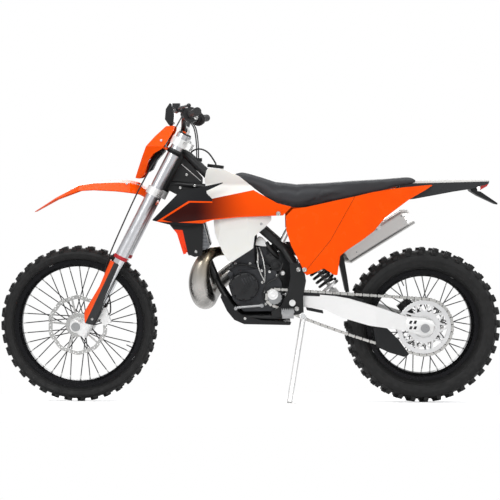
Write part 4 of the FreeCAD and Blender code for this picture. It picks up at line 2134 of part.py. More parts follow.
def build():
    """All pieces by name, upright."""
    spine = frame_spine()
    cradle = frame_cradle(spine)
    arm = swingarm()
    lamp = headlamp()
    cushion = seat()
    rear_light = tail_lamp()
    fender = rear_fender(cushion, rear_light)
    cap = fuel_cap()
    clamp = upper_clamp()
    mask = headlight_mask(lamp)
    caliper = front_caliper()
    controls = Part.makeCompound([hand_controls(1), hand_controls(-1)])
    nodes = {
        "frame_spine": spine,
        "frame_cradle": cradle,
        "subframe": subframe(spine),
        "swingarm": arm,
        "rear_axle": rear_axle_bolt(),
        "chain": chain(),
        "front_sprocket": front_sprocket(),
        "chain_guide": chain_guide(arm),
        "crankcase": crankcase(),
        "engine_covers": Part.makeCompound([ignition_cover(), clutch_cover()]),
        "cylinder": cylinder(),
        "intake": intake(),
        "exhaust_pipe": exhaust_pipe(),
        "silencer": silencer(),
        "radiators": Part.makeCompound([radiator(1), radiator(-1)]),
        "fuel_tank": fuel_tank(spine, cushion),
        "fuel_cap": Part.makeCompound([cap, oil_cap(spine)]),
        "vent_hose": vent_hose(spine, cap),
        "shrouds": Part.makeCompound([shroud(1), shroud(-1)]),
        "radiator_covers": Part.makeCompound([radiator_cover(1), radiator_cover(-1)]),
        "side_panels": Part.makeCompound([side_panel(1), side_panel(-1)]),
        "seat_pad": cushion,
        "rear_fender": fender,
        "tail_lamp": rear_light,
        "plate_holder": plate_holder(fender),
        "skid_plate": skid_plate(cradle),
        "airbox": airbox(),
        "shock_body": shock_body(),
        "shock_spring": shock_spring(),
        "foot_controls": Part.makeCompound([footpegs(), foot_levers()]),
        "rear_caliper": rear_caliper(),
        "stand_bracket": stand_bracket(),
        "side_stand": side_stand(),
        "rear_tyre": placed(rolled(rear_tyre()), rear_axle),
        "rear_rim": placed(rim(rear_rim_radius, rear_rim_inner_radius, rear_rim_half_width), rear_axle),
        "rear_spokes": placed(spokes(rear_flange_radius, rear_flange_offset, rear_rim_inner_radius), rear_axle),
        "rear_hub": placed(rear_hub(), rear_axle),
        "rear_sprocket": rear_sprocket(),
        "rear_disc": placed(wave_disc(rear_disc_radius, -rear_disc_offset), rear_axle),
        "front_tyre": placed(rolled(front_tyre()), front_axle),
        "front_rim": placed(rim(front_rim_radius, front_rim_inner_radius, front_rim_half_width), front_axle),
        "front_spokes": placed(spokes(front_flange_radius, front_flange_offset, front_rim_inner_radius), front_axle),
        "front_hub": placed(front_hub(), front_axle),
        "front_disc": placed(wave_disc(front_disc_radius, front_disc_offset), front_axle),
        "fork_tubes": Part.makeCompound([fork_outer(1), fork_outer(-1)]),
        "fork_sliders": Part.makeCompound([fork_inner(1), fork_inner(-1)]),
        "fork_feet": Part.makeCompound([fork_foot(1), fork_foot(-1)]),
        "fork_guards": Part.makeCompound([fork_guard(1), fork_guard(-1)]),
        "front_axle": front_axle_bolt(),
        "front_caliper": caliper,
        "brake_hose": brake_hose(caliper, controls),
        "lower_clamp": lower_clamp(),
        "upper_clamp": clamp,
        "instrument": instrument(clamp, mask),
        "handlebar": handlebar(),
        "grips": grips(),
        "hand_controls": controls,
        "front_fender": front_fender(),
        "headlight_mask": mask,
        "headlamp": lamp,
    }
    return nodes


def row_shift(shapes):
    """Moves the middle of the parked bike's box over the origin."""
    box = FreeCAD.BoundBox()
    for shape in shapes:
        box.add(shape.BoundBox)
    return V(-(box.XMin + box.XMax) / 2, -(box.YMin + box.YMax) / 2, 0)


def main():
    os.makedirs("parts", exist_ok=True)
    nodes = build()
    for shape in nodes.values():
        shape.Placement = parked.multiply(shape.Placement)
    shift = row_shift(nodes.values())
    for name, shape in nodes.items():
        shape.translate(shift)
        shape.exportStep("parts/" + name + ".step")
        print(name, len(shape.Solids), round(shape.Volume), shape.isValid())


main()
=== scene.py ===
# %% [markdown]
# # An enduro motorcycle, dressed in Blender
#
# The machine is already whole as a set of solid parts: frame, engine, wheels, fork and bodywork. They arrive
# as a fixed frame, and this lesson adds what the solids leave out: the finish of every surface, and the
# shapes that are easier to model as meshes, such as a tyre's tread or a padded saddle. We start by loading
# the parts and by noting where the machine stands, because it leans on its side stand.

# %% Load the parts and note the box they fill
import json
import math

import bmesh
import bpy
from mathutils import Matrix, Vector
from mathutils.bvhtree import BVHTree


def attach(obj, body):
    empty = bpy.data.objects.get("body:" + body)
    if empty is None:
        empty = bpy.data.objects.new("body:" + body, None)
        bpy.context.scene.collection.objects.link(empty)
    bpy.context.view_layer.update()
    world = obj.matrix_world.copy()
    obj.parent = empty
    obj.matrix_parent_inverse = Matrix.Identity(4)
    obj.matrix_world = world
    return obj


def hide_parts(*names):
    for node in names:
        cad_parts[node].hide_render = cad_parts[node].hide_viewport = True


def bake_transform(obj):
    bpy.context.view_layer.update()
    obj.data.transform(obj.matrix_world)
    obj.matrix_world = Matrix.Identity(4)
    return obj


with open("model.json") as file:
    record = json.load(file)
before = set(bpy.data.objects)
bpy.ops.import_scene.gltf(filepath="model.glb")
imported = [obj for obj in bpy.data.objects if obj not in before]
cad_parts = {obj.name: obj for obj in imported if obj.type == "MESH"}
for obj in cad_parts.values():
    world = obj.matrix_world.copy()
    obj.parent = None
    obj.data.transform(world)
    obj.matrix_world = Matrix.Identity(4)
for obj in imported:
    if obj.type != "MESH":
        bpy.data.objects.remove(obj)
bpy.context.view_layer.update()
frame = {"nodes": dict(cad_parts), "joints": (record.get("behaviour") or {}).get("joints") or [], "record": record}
nodes = frame["nodes"]

# %% [markdown]
# Every place in this scene is easiest to say in the machine's own directions: forwards, to the rider's left,
# and up along the wheels. The axles give them. The rear axle is the origin, the line to the front axle
# points forwards, and the axle itself points left. One function then turns a place on the machine into a
# place in the scene, leaning included.

# %% The machine's own directions
joints = {j["name"]: j for j in frame["joints"]}
rear_axle = Vector(joints["rear_wheel_spin"]["pos_m"])
front_axle = Vector(joints["front_wheel_spin"]["pos_m"])
left = Vector(joints["rear_wheel_spin"]["axis"]).normalized()
axle_rise = 0.003
wheelbase = (front_axle - rear_axle).length
forward = (front_axle - rear_axle).normalized()
up = forward.cross(left).normalized()
forward = left.cross(up).normalized()
tilt = math.asin(axle_rise / wheelbase)
forward, up = (
    forward * math.cos(tilt) - up * math.sin(tilt),
    up * math.cos(tilt) + forward * math.sin(tilt),
)
rear_axle_height = 0.337


def place(x, y, z):
    """A point of the scene: metres ahead of the rear axle, to the left, and above the tyres' lowest line."""
    return rear_axle + forward * x + left * y + up * (z - rear_axle_height)


print("the machine leans", round(math.degrees(math.acos(up.z)), 2), "degrees")

# %% [markdown]
# ## Camera
#
# The photograph was taken square to the left side, from five and a half metres, with the lens about as high
# as the tank. The camera keeps that place beside the machine, so it leans with it.

# %% Camera at the photograph's place
camera_distance = 5.5
camera_ahead = 0.682
camera_height = 1.052
frame_width = 2.171
target_ahead = 0.747
target_height = 0.661

camera_data = bpy.data.cameras.new("camera")
camera_data.sensor_width = 36.0
camera = bpy.data.objects.new("camera", camera_data)
bpy.context.scene.collection.objects.link(camera)
bpy.context.scene.camera = camera
eye = place(camera_ahead, camera_distance, camera_height)
aim = place(target_ahead, 0, target_height)
back = (eye - aim).normalized()
across = up.cross(back).normalized()
camera_axes = Matrix((across, back.cross(across), back)).transposed().to_4x4()
camera.matrix_world = Matrix.Translation(eye) @ camera_axes
camera_data.lens = camera_data.sensor_width * (eye - aim).length / frame_width
camera_data.clip_end = 100
print("lens", round(camera_data.lens, 1), "mm")

# %% [markdown]
# The photograph also tells where small things sit. Its pixels lie in the camera's own picture, so a pixel and
# a distance left of the machine's middle plane give one place. The rear axle shows at one known pixel and one
# pixel is a known length at the middle plane; what is nearer to the lens looks larger by a small share.

# %% From a pixel of the photograph to a place
rear_axle_pixel = (422.0, 324.6)
view_centre_pixel = (265.0, 160.0)
metres_per_pixel = 0.0043413
picture_turn = -0.00789


def seen_at(across_px, down_px, side=0.0):
    """The place that shows at a pixel, that far left of the middle plane."""
    nearer = 1 - side / camera_distance
    flat_across = view_centre_pixel[0] + (across_px - view_centre_pixel[0]) * nearer
    flat_down = view_centre_pixel[1] + (down_px - view_centre_pixel[1]) * nearer
    step = complex(rear_axle_pixel[0] - flat_across, rear_axle_pixel[1] - flat_down)
    step *= complex(math.cos(picture_turn), math.sin(picture_turn)) * metres_per_pixel
    return place(step.real, side, step.imag + rear_axle_height)


fork_up = (forward * -0.458650 + up * 0.888617).normalized()
fork_ahead = left.cross(fork_up).normalized()
fork_start = place(1.439349, 0, 0.313857)


def fork_spot(rise, ahead, side):
    """A place on the fork: metres up along it, ahead of the steering's own line, and to the left."""
    return fork_start + fork_up * rise + fork_ahead * ahead + left * side


print("rear axle", [round(v, 3) for v in seen_at(*rear_axle_pixel)])

# %% [markdown]
# ## Light
#
# Studio pictures of machines use a few large soft boxes. A wide box overhead gives the plastic its long
# highlight, one beside the camera fills the side that we see, and a weaker one lights the far side, because
# the machine is looked at from all round. The world adds an even grey light. Its white is only what the
# camera, the metals and the lenses see, so chrome mirrors the same white studio that stands behind it.

# %% One function adds a node, and the lamps and the world follow
def node(tree, kind, inputs=None, **settings):
    """Adds a node, applies its settings, and fills its inputs with values or with other nodes' outputs."""
    made = tree.nodes.new(kind)
    for key, value in settings.items():
        setattr(made, key, value)
    for key, value in (inputs or {}).items():
        if isinstance(value, bpy.types.NodeSocket):
            tree.links.new(value, made.inputs[key])
        else:
            made.inputs[key].default_value = value
    return made


def soft_box(name, at, towards, width, height, watts):
    """A rectangular lamp aimed at a point."""
    data = bpy.data.lights.new(name, "AREA")
    data.shape = "RECTANGLE"
    data.size, data.size_y, data.energy = width, height, watts
    lamp = bpy.data.objects.new(name, data)
    bpy.context.scene.collection.objects.link(lamp)
    lamp.location = at
    lamp.rotation_euler = (Vector(towards) - Vector(at)).to_track_quat("-Z", "Y").to_euler()
    return lamp


soft_box("overhead", (0.3, 0.6, 3.4), (0, 0, 0.6), 3.2, 2.2, 75)
soft_box("camera_side", (1.6, 3.6, 1.9), (0, 0, 0.6), 2.0, 1.6, 60)
soft_box("rear_side", (-2.6, 2.4, 1.6), (0, 0, 0.6), 1.2, 1.6, 28)
soft_box("far_side", (0.4, -3.4, 2.0), (0, 0, 0.6), 2.6, 1.8, 55)

scene = bpy.context.scene
scene.view_settings.view_transform = "Standard"
world = bpy.data.worlds.new("studio")
scene.world = world
world.use_nodes = True
tree = world.node_tree
tree.nodes.clear()
rays = node(tree, "ShaderNodeLightPath")
seen_rays = {0: rays.outputs["Is Camera Ray"], 1: rays.outputs["Is Transmission Ray"]}
direct = node(tree, "ShaderNodeMath", seen_rays, operation="MAXIMUM")
mirrored = node(tree, "ShaderNodeMath", {0: rays.outputs["Is Glossy Ray"], 1: 0.5}, operation="MULTIPLY")
seen = node(tree, "ShaderNodeMath", {0: direct.outputs[0], 1: mirrored.outputs[0]}, operation="MAXIMUM")
plain = node(tree, "ShaderNodeBackground", {"Color": (0.80, 0.82, 0.85, 1), "Strength": 0.42})
white = node(tree, "ShaderNodeBackground", {"Color": (1, 1, 1, 1), "Strength": 1.0})
mixed = node(tree, "ShaderNodeMixShader", {0: seen.outputs[0], 1: plain.outputs[0], 2: white.outputs[0]})
node(tree, "ShaderNodeOutputWorld", {"Surface": mixed.outputs[0]})

# %% [markdown]
# ## Floor
#
# A studio sweep runs from the floor up into the backdrop without an edge. Here the floor is pale near the
# machine, where it must show the soft shadow under the wheels, and turns transparent further out, so the
# world's white takes over and no horizon shows.

# %% Colours, real scales, and the floor
def linear(code, alpha=1.0):
    """An sRGB hex code as a linear colour."""
    values = [int(code[i:i + 2], 16) / 255 for i in (1, 3, 5)]
    return tuple(v / 12.92 if v <= 0.04045 else ((v + 0.055) / 1.055) ** 2.4 for v in values) + (alpha,)


def per_metre(millimetres):
    """Scale of a texture whose features are that far apart."""
    return 1000.0 / millimetres


bpy.ops.object.select_all(action="DESELECT")
bpy.ops.mesh.primitive_plane_add(size=40, location=(0, 0, 0))
floor = bpy.context.object
floor.name = "floor"
floor_paint = bpy.data.materials.new("pale_studio_sweep")
floor_paint.use_nodes = True
tree = floor_paint.node_tree
tree.nodes.clear()
where = node(tree, "ShaderNodeTexCoord").outputs["Object"]
reach = node(tree, "ShaderNodeVectorMath", {0: where}, operation="LENGTH")
fade = node(
    tree, "ShaderNodeMapRange", {"Value": reach.outputs["Value"], "From Min": 1.0, "From Max": 1.9},
    interpolation_type="SMOOTHSTEP")
matte = node(tree, "ShaderNodeBsdfDiffuse", {"Color": linear("#FAFAFA")})
rays = node(tree, "ShaderNodeLightPath")
lift = node(tree, "ShaderNodeMath", {0: rays.outputs["Is Camera Ray"], 1: 0.42}, operation="MULTIPLY")
glow = node(tree, "ShaderNodeEmission", {"Color": (1, 1, 1, 1), "Strength": lift.outputs[0]})
lit = node(tree, "ShaderNodeAddShader", {0: matte.outputs[0], 1: glow.outputs[0]})
clear = node(tree, "ShaderNodeBsdfTransparent")
swept = node(tree, "ShaderNodeMixShader", {0: fade.outputs[0], 1: lit.outputs[0], 2: clear.outputs[0]})
node(tree, "ShaderNodeOutputMaterial", {"Surface": swept.outputs[0]})
floor.data.materials.append(floor_paint)

# %% [markdown]
# ## Finishes
#
# Each finish starts from what the real surface is: moulded, cast, plated, anodised or woven. A colour
# given as a hex code is an sRGB value, so it goes through the function above. The finish is a Principled shader
# with a few nodes that break up its gloss or its surface, because no real surface is perfectly even. A
# noise of scale 1 repeats about once a metre, so a 2 mm grain has a scale of 500.

# %% A new finish, its uneven skin, and a line on the machine for two-colour parts
orange, orange_low, orange_high = "#FB5000", "#F74C00", "#FE5800"
matt_black = "#141516"
glossy_resin = {"IOR": 1.49, "Specular_IOR_Level": 0.14}
matt_resin = {"IOR": 1.49, "Specular_IOR_Level": 0.3}


def new_finish(name, colour, roughness, metallic=0.0, **sockets):
    """A material with a Principled shader; returns it with its tree, its shader and object coordinates."""
    made = bpy.data.materials.new(name)
    made.use_nodes = True
    tree = made.node_tree
    tree.nodes.clear()
    shader = node(
        tree, "ShaderNodeBsdfPrincipled", {"Base Color": linear(
            colour), "Roughness": roughness, "Metallic": metallic})
    for key, value in sockets.items():
        shader.inputs[key.replace("_", " ")].default_value = value
    node(tree, "ShaderNodeOutputMaterial", {"Surface": shader.outputs[0]})
    return made, tree, shader, node(tree, "ShaderNodeTexCoord").outputs["Object"]


def uneven_skin(tree, shader, pattern, low, high, span=(0.3, 0.7), relief=None, depth=0.0):
    """Swings the roughness from low to high over a pattern's span, and bumps the surface by a relief."""
    gloss = node(tree, "ShaderNodeMapRange", {
        "Value": pattern, "From Min": span[0], "From Max": span[1], "To Min": low, "To Max": high})
    tree.links.new(gloss.outputs[0], shader.inputs["Roughness"])
    if relief:
        bump = node(tree, "ShaderNodeBump", {"Height": relief, "Distance": depth})
        tree.links.new(bump.outputs[0], shader.inputs["Normal"])


def orange_swirl(tree, where):
    """The slow swirl of the resin in its mould, and the orange that it tints."""
    flow = node(tree, "ShaderNodeTexNoise", {"Vector": where, "Scale": per_metre(60), "Detail": 5.0})
    colours = {0: flow.outputs[0], 6: linear(orange_low), 7: linear(orange_high)}
    return flow, node(tree, "ShaderNodeMix", colours, data_type="RGBA")


def beyond_line(tree, where, start_px, end_px, side=0.15, soft_mm=0.6):
    """0 to 1 across a line between two pixels; 1 is above it when it runs from left to right."""
    start, end = seen_at(*start_px, side), seen_at(*end_px, side)
    normal = left.cross(end - start).normalized()
    dot = node(tree, "ShaderNodeVectorMath", {0: where, 1: normal}, operation="DOT_PRODUCT")
    level, soft = start.dot(normal), soft_mm / 1000
    span = node(tree, "ShaderNodeMapRange", {
        "Value": dot.outputs["Value"], "From Min": level - soft, "From Max": level + soft})
    return span.outputs[0]


# %% Moulded plastics
# Injection-moulded polypropylene: a deep even colour under a soft gloss, with a faint orange-peel that the
# mould leaves.
orange_plastic, tree, shader, where = new_finish("moulded_polypropylene_orange", orange, 0.24, **glossy_resin)
flow, tone = orange_swirl(tree, where)
tree.links.new(tone.outputs[2], shader.inputs["Base Color"])
peel = node(tree, "ShaderNodeTexNoise", {"Vector": where, "Scale": per_metre(3), "Detail": 2.0})
uneven_skin(tree, shader, flow.outputs[0], 0.18, 0.31, relief=peel.outputs[0], depth=0.00002)

# The same resin in black, moulded against an etched tool, so it is matt with a fine leather-like grain.
black_plastic, tree, shader, where = new_finish("grained_polypropylene_black", matt_black, 0.5, **matt_resin)
cloud = node(tree, "ShaderNodeTexNoise", {"Vector": where, "Scale": per_metre(35), "Detail": 3.0})
tone = node(tree, "ShaderNodeMix", {
    0: cloud.outputs[0], 6: linear("#0F1011"), 7: linear("#191A1C")}, data_type="RGBA")
tree.links.new(tone.outputs[2], shader.inputs["Base Color"])
etch = node(tree, "ShaderNodeTexNoise", {"Vector": where, "Scale": per_metre(1.6), "Detail": 2.0})
uneven_skin(tree, shader, cloud.outputs[0], 0.42, 0.6, relief=etch.outputs[0], depth=0.00006)

# Cross-linked polyethylene in its natural milky white: light enters it, so it looks soft rather than painted.
tank_plastic, tree, shader, where = new_finish(
    "translucent_polyethylene_natural", "#ECEBE6", 0.34,
    IOR=1.5, Subsurface_Weight=0.3, Subsurface_Scale=0.02)
shader.inputs["Subsurface Radius"].default_value = (1.0, 0.9, 0.7)
swirl = node(tree, "ShaderNodeTexNoise", {"Vector": where, "Scale": per_metre(40), "Detail": 3.0})
skin = node(tree, "ShaderNodeTexNoise", {"Vector": where, "Scale": per_metre(5), "Detail": 2.0})
uneven_skin(tree, shader, swirl.outputs[0], 0.28, 0.44, relief=skin.outputs[0], depth=0.00005)

# Side shrouds: the orange moulding with a matt black nose, and painted shade in a dark band under the nose that
# fades rearwards.
shroud_plastic, tree, shader, where = new_finish("two_tone_moulded_shroud", orange, 0.26, **glossy_resin)
nose_top = beyond_line(tree, where, (158.1, 218.8), (190.0, 198.9))
nose_rise = beyond_line(tree, where, (190.0, 198.9), (216.0, 199.6))
nose_end = beyond_line(tree, where, (213.0, 230.0), (214.0, 180.0))
nose_low = beyond_line(tree, where, (158.1, 219.3), (200.0, 221.2))
above = node(tree, "ShaderNodeMath", {0: nose_rise, 1: nose_end}, operation="MINIMUM")
upper = node(tree, "ShaderNodeMath", {0: nose_top, 1: above.outputs[0]}, operation="MAXIMUM")
under = node(tree, "ShaderNodeMath", {0: 1.0, 1: nose_low}, operation="SUBTRACT")
spoiler_line = beyond_line(tree, where, (200.0, 197.5), (236.0, 182.0))
spoiler_start = beyond_line(tree, where, (206.0, 180.0), (205.0, 230.0))
spoiler = node(tree, "ShaderNodeMath", {0: spoiler_line, 1: spoiler_start}, operation="MINIMUM")
tipped = node(tree, "ShaderNodeMath", {0: upper.outputs[0], 1: spoiler.outputs[0]}, operation="MAXIMUM")
nose = node(tree, "ShaderNodeMath", {
    0: tipped.outputs[0], 1: under.outputs[0]}, operation="MAXIMUM", use_clamp=True)
# Below the nose's trim a dark red band is painted shade, strongest at the front and faded out rearwards.
trim_top = beyond_line(tree, where, (160.0, 219.6), (191.2, 200.4))
trim_rise = beyond_line(tree, where, (191.2, 200.4), (217.0, 201.0))
shade_band_low = beyond_line(tree, where, (162.0, 217.2), (176.0, 220.6))
shade_band_rear = beyond_line(tree, where, (176.0, 220.6), (250.0, 213.6))
trim_end = node(tree, "ShaderNodeMath", {0: trim_rise, 1: nose_end}, operation="MINIMUM")
inside_top = node(tree, "ShaderNodeMath", {0: trim_top, 1: trim_end.outputs[0]}, operation="MAXIMUM")
over_low = node(tree, "ShaderNodeMath", {0: shade_band_low, 1: shade_band_rear}, operation="MINIMUM")
band = node(tree, "ShaderNodeMath", {
    0: over_low.outputs[0], 1: inside_top.outputs[0]}, operation="SUBTRACT", use_clamp=True)
rearwards = forward * -1
rearward_dot = node(tree, "ShaderNodeVectorMath", {0: where, 1: rearwards}, operation="DOT_PRODUCT")
fade_start, fade_end = (seen_at(across, 205, 0.15).dot(rearwards) for across in (196, 256))
fade = node(tree, "ShaderNodeMapRange", {
    "Value": rearward_dot.outputs["Value"],
    "From Min": fade_start, "From Max": fade_end, "To Min": 1.0, "To Max": 0.0},
    interpolation_type="SMOOTHSTEP")
shade = node(tree, "ShaderNodeMath", {0: band.outputs[0], 1: fade.outputs[0]}, operation="MULTIPLY")
shade_banded = node(tree, "ShaderNodeMix", {
    0: shade.outputs[0], 6: linear(orange), 7: linear("#330703")}, data_type="RGBA")
nosed = node(
    tree, "ShaderNodeMix", {0: nose.outputs[0], 6: shade_banded.outputs[2], 7: linear("#17181A")}, data_type="RGBA")
tree.links.new(nosed.outputs[2], shader.inputs["Base Color"])
peel = node(tree, "ShaderNodeTexNoise", {"Vector": where, "Scale": per_metre(2), "Detail": 2.0})
rough_nose = node(tree, "ShaderNodeMath", {0: peel.outputs[0], 1: nose.outputs[0]}, operation="MULTIPLY")
uneven_skin(
    tree, shader, nose.outputs[0], 0.24, 0.5, span=(0, 1), relief=rough_nose.outputs[0], depth=0.00006)

# Side panels: one crease where the rear number panel laps over the airbox cover, with painted shade in a dark line
# along it.
panel_plastic, tree, shader, where = new_finish("lapped_side_panel_orange", orange, 0.24, **glossy_resin)
high_line = beyond_line(tree, where, (330.9, 238.6), (356.0, 194.5), 0.11, 1.2)
low_line = beyond_line(tree, where, (304.0, 271.3), (330.9, 238.6), 0.11, 1.2)
lap = node(tree, "ShaderNodeMath", {0: high_line, 1: low_line}, operation="MINIMUM")
flow, tone = orange_swirl(tree, where)
# The dark line along the crease is painted shade; the bump gives the crease its relief.
crease_shade_line = node(tree, "ShaderNodeMath", {0: lap.outputs[0], 1: 0.5, 2: 0.3}, operation="COMPARE")
dark = node(tree, "ShaderNodeMix", {
    0: crease_shade_line.outputs[0], 6: tone.outputs[2], 7: linear("#8A2A04")}, data_type="RGBA")
tree.links.new(dark.outputs[2], shader.inputs["Base Color"])
uneven_skin(tree, shader, flow.outputs[0], 0.18, 0.31, relief=lap.outputs[0], depth=0.0018)

# Headlamp mask: orange, with black rubber straps where its arms reach back round the fork.
mask_plastic, tree, shader, where = new_finish("strapped_headlamp_mask", orange, 0.24, **glossy_resin)
flow, tone = orange_swirl(tree, where)
behind = beyond_line(tree, where, (180.6, 124.6), (168.5, 148.0), 0.11)
strapped = node(tree, "ShaderNodeMix", {
    0: behind, 6: tone.outputs[2], 7: linear(matt_black)}, data_type="RGBA")
tree.links.new(strapped.outputs[2], shader.inputs["Base Color"])
peel = node(tree, "ShaderNodeTexNoise", {"Vector": where, "Scale": per_metre(3), "Detail": 2.0})
uneven_skin(tree, shader, behind, 0.24, 0.55, span=(0, 1), relief=peel.outputs[0], depth=0.00002)

# Radiator covers: black, with an orange-red guard along the lower front edge.
louvre_plastic, tree, shader, where = new_finish("two_tone_radiator_cover", matt_black, 0.45, **matt_resin)
front_side = beyond_line(tree, where, (189.0, 255.0), (183.0, 226.0), 0.13)
low_side = beyond_line(tree, where, (192.0, 228.8), (165.0, 226.5), 0.13)
guard = node(tree, "ShaderNodeMath", {0: front_side, 1: low_side}, operation="MINIMUM")
tone = node(tree, "ShaderNodeMix", {
    0: guard.outputs[0], 6: linear(matt_black), 7: linear("#F83C08")}, data_type="RGBA")
tree.links.new(tone.outputs[2], shader.inputs["Base Color"])
etch = node(tree, "ShaderNodeTexNoise", {"Vector": where, "Scale": per_metre(1.8), "Detail": 2.0})
uneven_skin(tree, shader, etch.outputs[0], 0.36, 0.52, relief=etch.outputs[0], depth=0.00005)

# Rear fender: black underneath and along its sides, with a pale top cap.
tail_plastic, tree, shader, where = new_finish("two_tone_rear_fender", "#1A1B1D", 0.42, IOR=1.49)
cap = beyond_line(tree, where, (398.0, 183.4), (487.0, 181.9), 0.06)
tone = node(tree, "ShaderNodeMix", {0: cap, 6: linear("#1A1B1D"), 7: linear("#E4E2DE")}, data_type="RGBA")
tree.links.new(tone.outputs[2], shader.inputs["Base Color"])
etch = node(tree, "ShaderNodeTexNoise", {"Vector": where, "Scale": per_metre(1.8), "Detail": 2.0})
uneven_skin(tree, shader, etch.outputs[0], 0.34, 0.48, relief=etch.outputs[0], depth=0.00005)

# Fork guards: black with an orange front edge.
guard_plastic, tree, shader, where = new_finish("two_tone_fork_guard", "#1A1B1D", 0.36, IOR=1.49)
edge = beyond_line(tree, where, (88.0, 314.0), (113.5, 262.0), 0.12)
tone = node(tree, "ShaderNodeMix", {0: edge, 6: linear("#1D1E20"), 7: linear(orange)}, data_type="RGBA")
tree.links.new(tone.outputs[2], shader.inputs["Base Color"])
etch = node(tree, "ShaderNodeTexNoise", {"Vector": where, "Scale": per_metre(2.2), "Detail": 2.0})
uneven_skin(tree, shader, etch.outputs[0], 0.28, 0.44)
print("plastics:", len(bpy.data.materials))

# %% Rubber and vinyl
# Saddle cover: vinyl embossed with small pebbles, so it grips and scatters light.
saddle_vinyl, tree, shader, where = new_finish(
    "gripper_vinyl_charcoal", "#232427", 0.6, IOR=1.5, Specular_IOR_Level=0.35)
cloud = node(tree, "ShaderNodeTexNoise", {"Vector": where, "Scale": per_metre(45), "Detail": 4.0})
tone = node(tree, "ShaderNodeMix", {
    0: cloud.outputs[0], 6: linear("#2A2B2D"), 7: linear("#3B3C3F")}, data_type="RGBA")
tree.links.new(tone.outputs[2], shader.inputs["Base Color"])
pebble = node(tree, "ShaderNodeTexVoronoi", {"Vector": where, "Scale": per_metre(2.6)})
uneven_skin(tree, shader, cloud.outputs[0], 0.5, 0.7, relief=pebble.outputs["Distance"], depth=0.0003)

# Tyre: vulcanised rubber keeps a dry, slightly dusty skin, a little lighter where the mould rubbed it.
tyre_rubber, tree, shader, where = new_finish(
    "vulcanised_rubber_tread", "#131313", 0.7, IOR=1.52, Specular_IOR_Level=0.35)
dust = node(tree, "ShaderNodeTexNoise", {"Vector": where, "Scale": per_metre(22), "Detail": 6.0})
tone = node(tree, "ShaderNodeMix", {
    0: dust.outputs[0], 6: linear("#0B0B0B"), 7: linear("#1B1B1B")}, data_type="RGBA")
tree.links.new(tone.outputs[2], shader.inputs["Base Color"])
skin = node(tree, "ShaderNodeTexNoise", {"Vector": where, "Scale": per_metre(1.4), "Detail": 2.0})
uneven_skin(tree, shader, dust.outputs[0], 0.56, 0.82, relief=skin.outputs[0], depth=0.0001)

# Grips, hoses and straps: softer black rubber with a waffle moulded in; 4 mm so that it shows.
soft_rubber, tree, shader, where = new_finish("moulded_grip_rubber", "#151516", 0.58, IOR=1.52)
waffle = node(tree, "ShaderNodeTexVoronoi", {"Vector": where, "Scale": per_metre(4)}, distance="CHEBYCHEV")
dents = waffle.outputs["Distance"]
uneven_skin(tree, shader, dents, 0.5, 0.68, span=(0, 1), relief=dents, depth=0.0004)

# Hoses: extruded through a die, so smooth along their length, with a soft shine.
hose_rubber, tree, shader, where = new_finish("extruded_hose_rubber", "#111112", 0.45, IOR=1.52)
skin = node(tree, "ShaderNodeTexNoise", {"Vector": where, "Scale": per_metre(2), "Detail": 2.0})
uneven_skin(tree, shader, skin.outputs[0], 0.36, 0.56, span=(0, 1))

# Fork wipers: the same, moulded in red.
red_rubber, tree, shader, where = new_finish("fork_wiper_rubber_red", "#B5121C", 0.5, IOR=1.52)
skin = node(tree, "ShaderNodeTexNoise", {"Vector": where, "Scale": per_metre(2), "Detail": 2.0})
uneven_skin(tree, shader, skin.outputs[0], 0.4, 0.6, span=(0, 1))

# %% Painted and plated metals
# Frame: powder coat bakes into a satin film with a very fine texture.
frame_coat, tree, shader, where = new_finish(
    "powder_coat_satin_black", "#0F1011", 0.36, IOR=1.5, Specular_IOR_Level=0.4)
film = node(tree, "ShaderNodeTexNoise", {"Vector": where, "Scale": per_metre(18), "Detail": 5.0})
peel = node(tree, "ShaderNodeTexNoise", {"Vector": where, "Scale": per_metre(2.2), "Detail": 2.0})
uneven_skin(tree, shader, film.outputs[0], 0.3, 0.46, relief=peel.outputs[0], depth=0.00004)

# Swingarm, clamps and fork feet: cast aluminium blasted with shot, which leaves a bright even sparkle.
cast_alloy, tree, shader, where = new_finish("shot_blasted_cast_aluminium", "#EDEDEC", 0.5, 0.75)
blast = node(tree, "ShaderNodeTexNoise", {"Vector": where, "Scale": per_metre(14), "Detail": 5.0})
pits = node(tree, "ShaderNodeTexNoise", {"Vector": where, "Scale": per_metre(1.1), "Detail": 2.0})
uneven_skin(tree, shader, blast.outputs[0], 0.42, 0.6, relief=pits.outputs[0], depth=0.00006)

# Engine cases: die-cast alloy under a thin grey paint.
engine_alloy, tree, shader, where = new_finish("die_cast_case_grey", "#505154", 0.46, 0.85)
cloud = node(tree, "ShaderNodeTexNoise", {"Vector": where, "Scale": per_metre(30), "Detail": 4.0})
tone = node(tree, "ShaderNodeMix", {
    0: cloud.outputs[0], 6: linear("#2E2F31"), 7: linear("#4C4D50")}, data_type="RGBA")
tree.links.new(tone.outputs[2], shader.inputs["Base Color"])
pits = node(tree, "ShaderNodeTexNoise", {"Vector": where, "Scale": per_metre(1.3), "Detail": 2.0})
uneven_skin(tree, shader, cloud.outputs[0], 0.36, 0.56, relief=pits.outputs[0], depth=0.0001)

# Engine covers, caliper and perches: baked enamel over a cast grain.
cover_paint, tree, shader, where = new_finish(
    "baked_enamel_black", "#141517", 0.4, IOR=1.5, Specular_IOR_Level=0.4)
film = node(tree, "ShaderNodeTexNoise", {"Vector": where, "Scale": per_metre(12), "Detail": 5.0})
pits = node(tree, "ShaderNodeTexNoise", {"Vector": where, "Scale": per_metre(1.4), "Detail": 2.0})
uneven_skin(tree, shader, film.outputs[0], 0.32, 0.52, relief=pits.outputs[0], depth=0.00006)

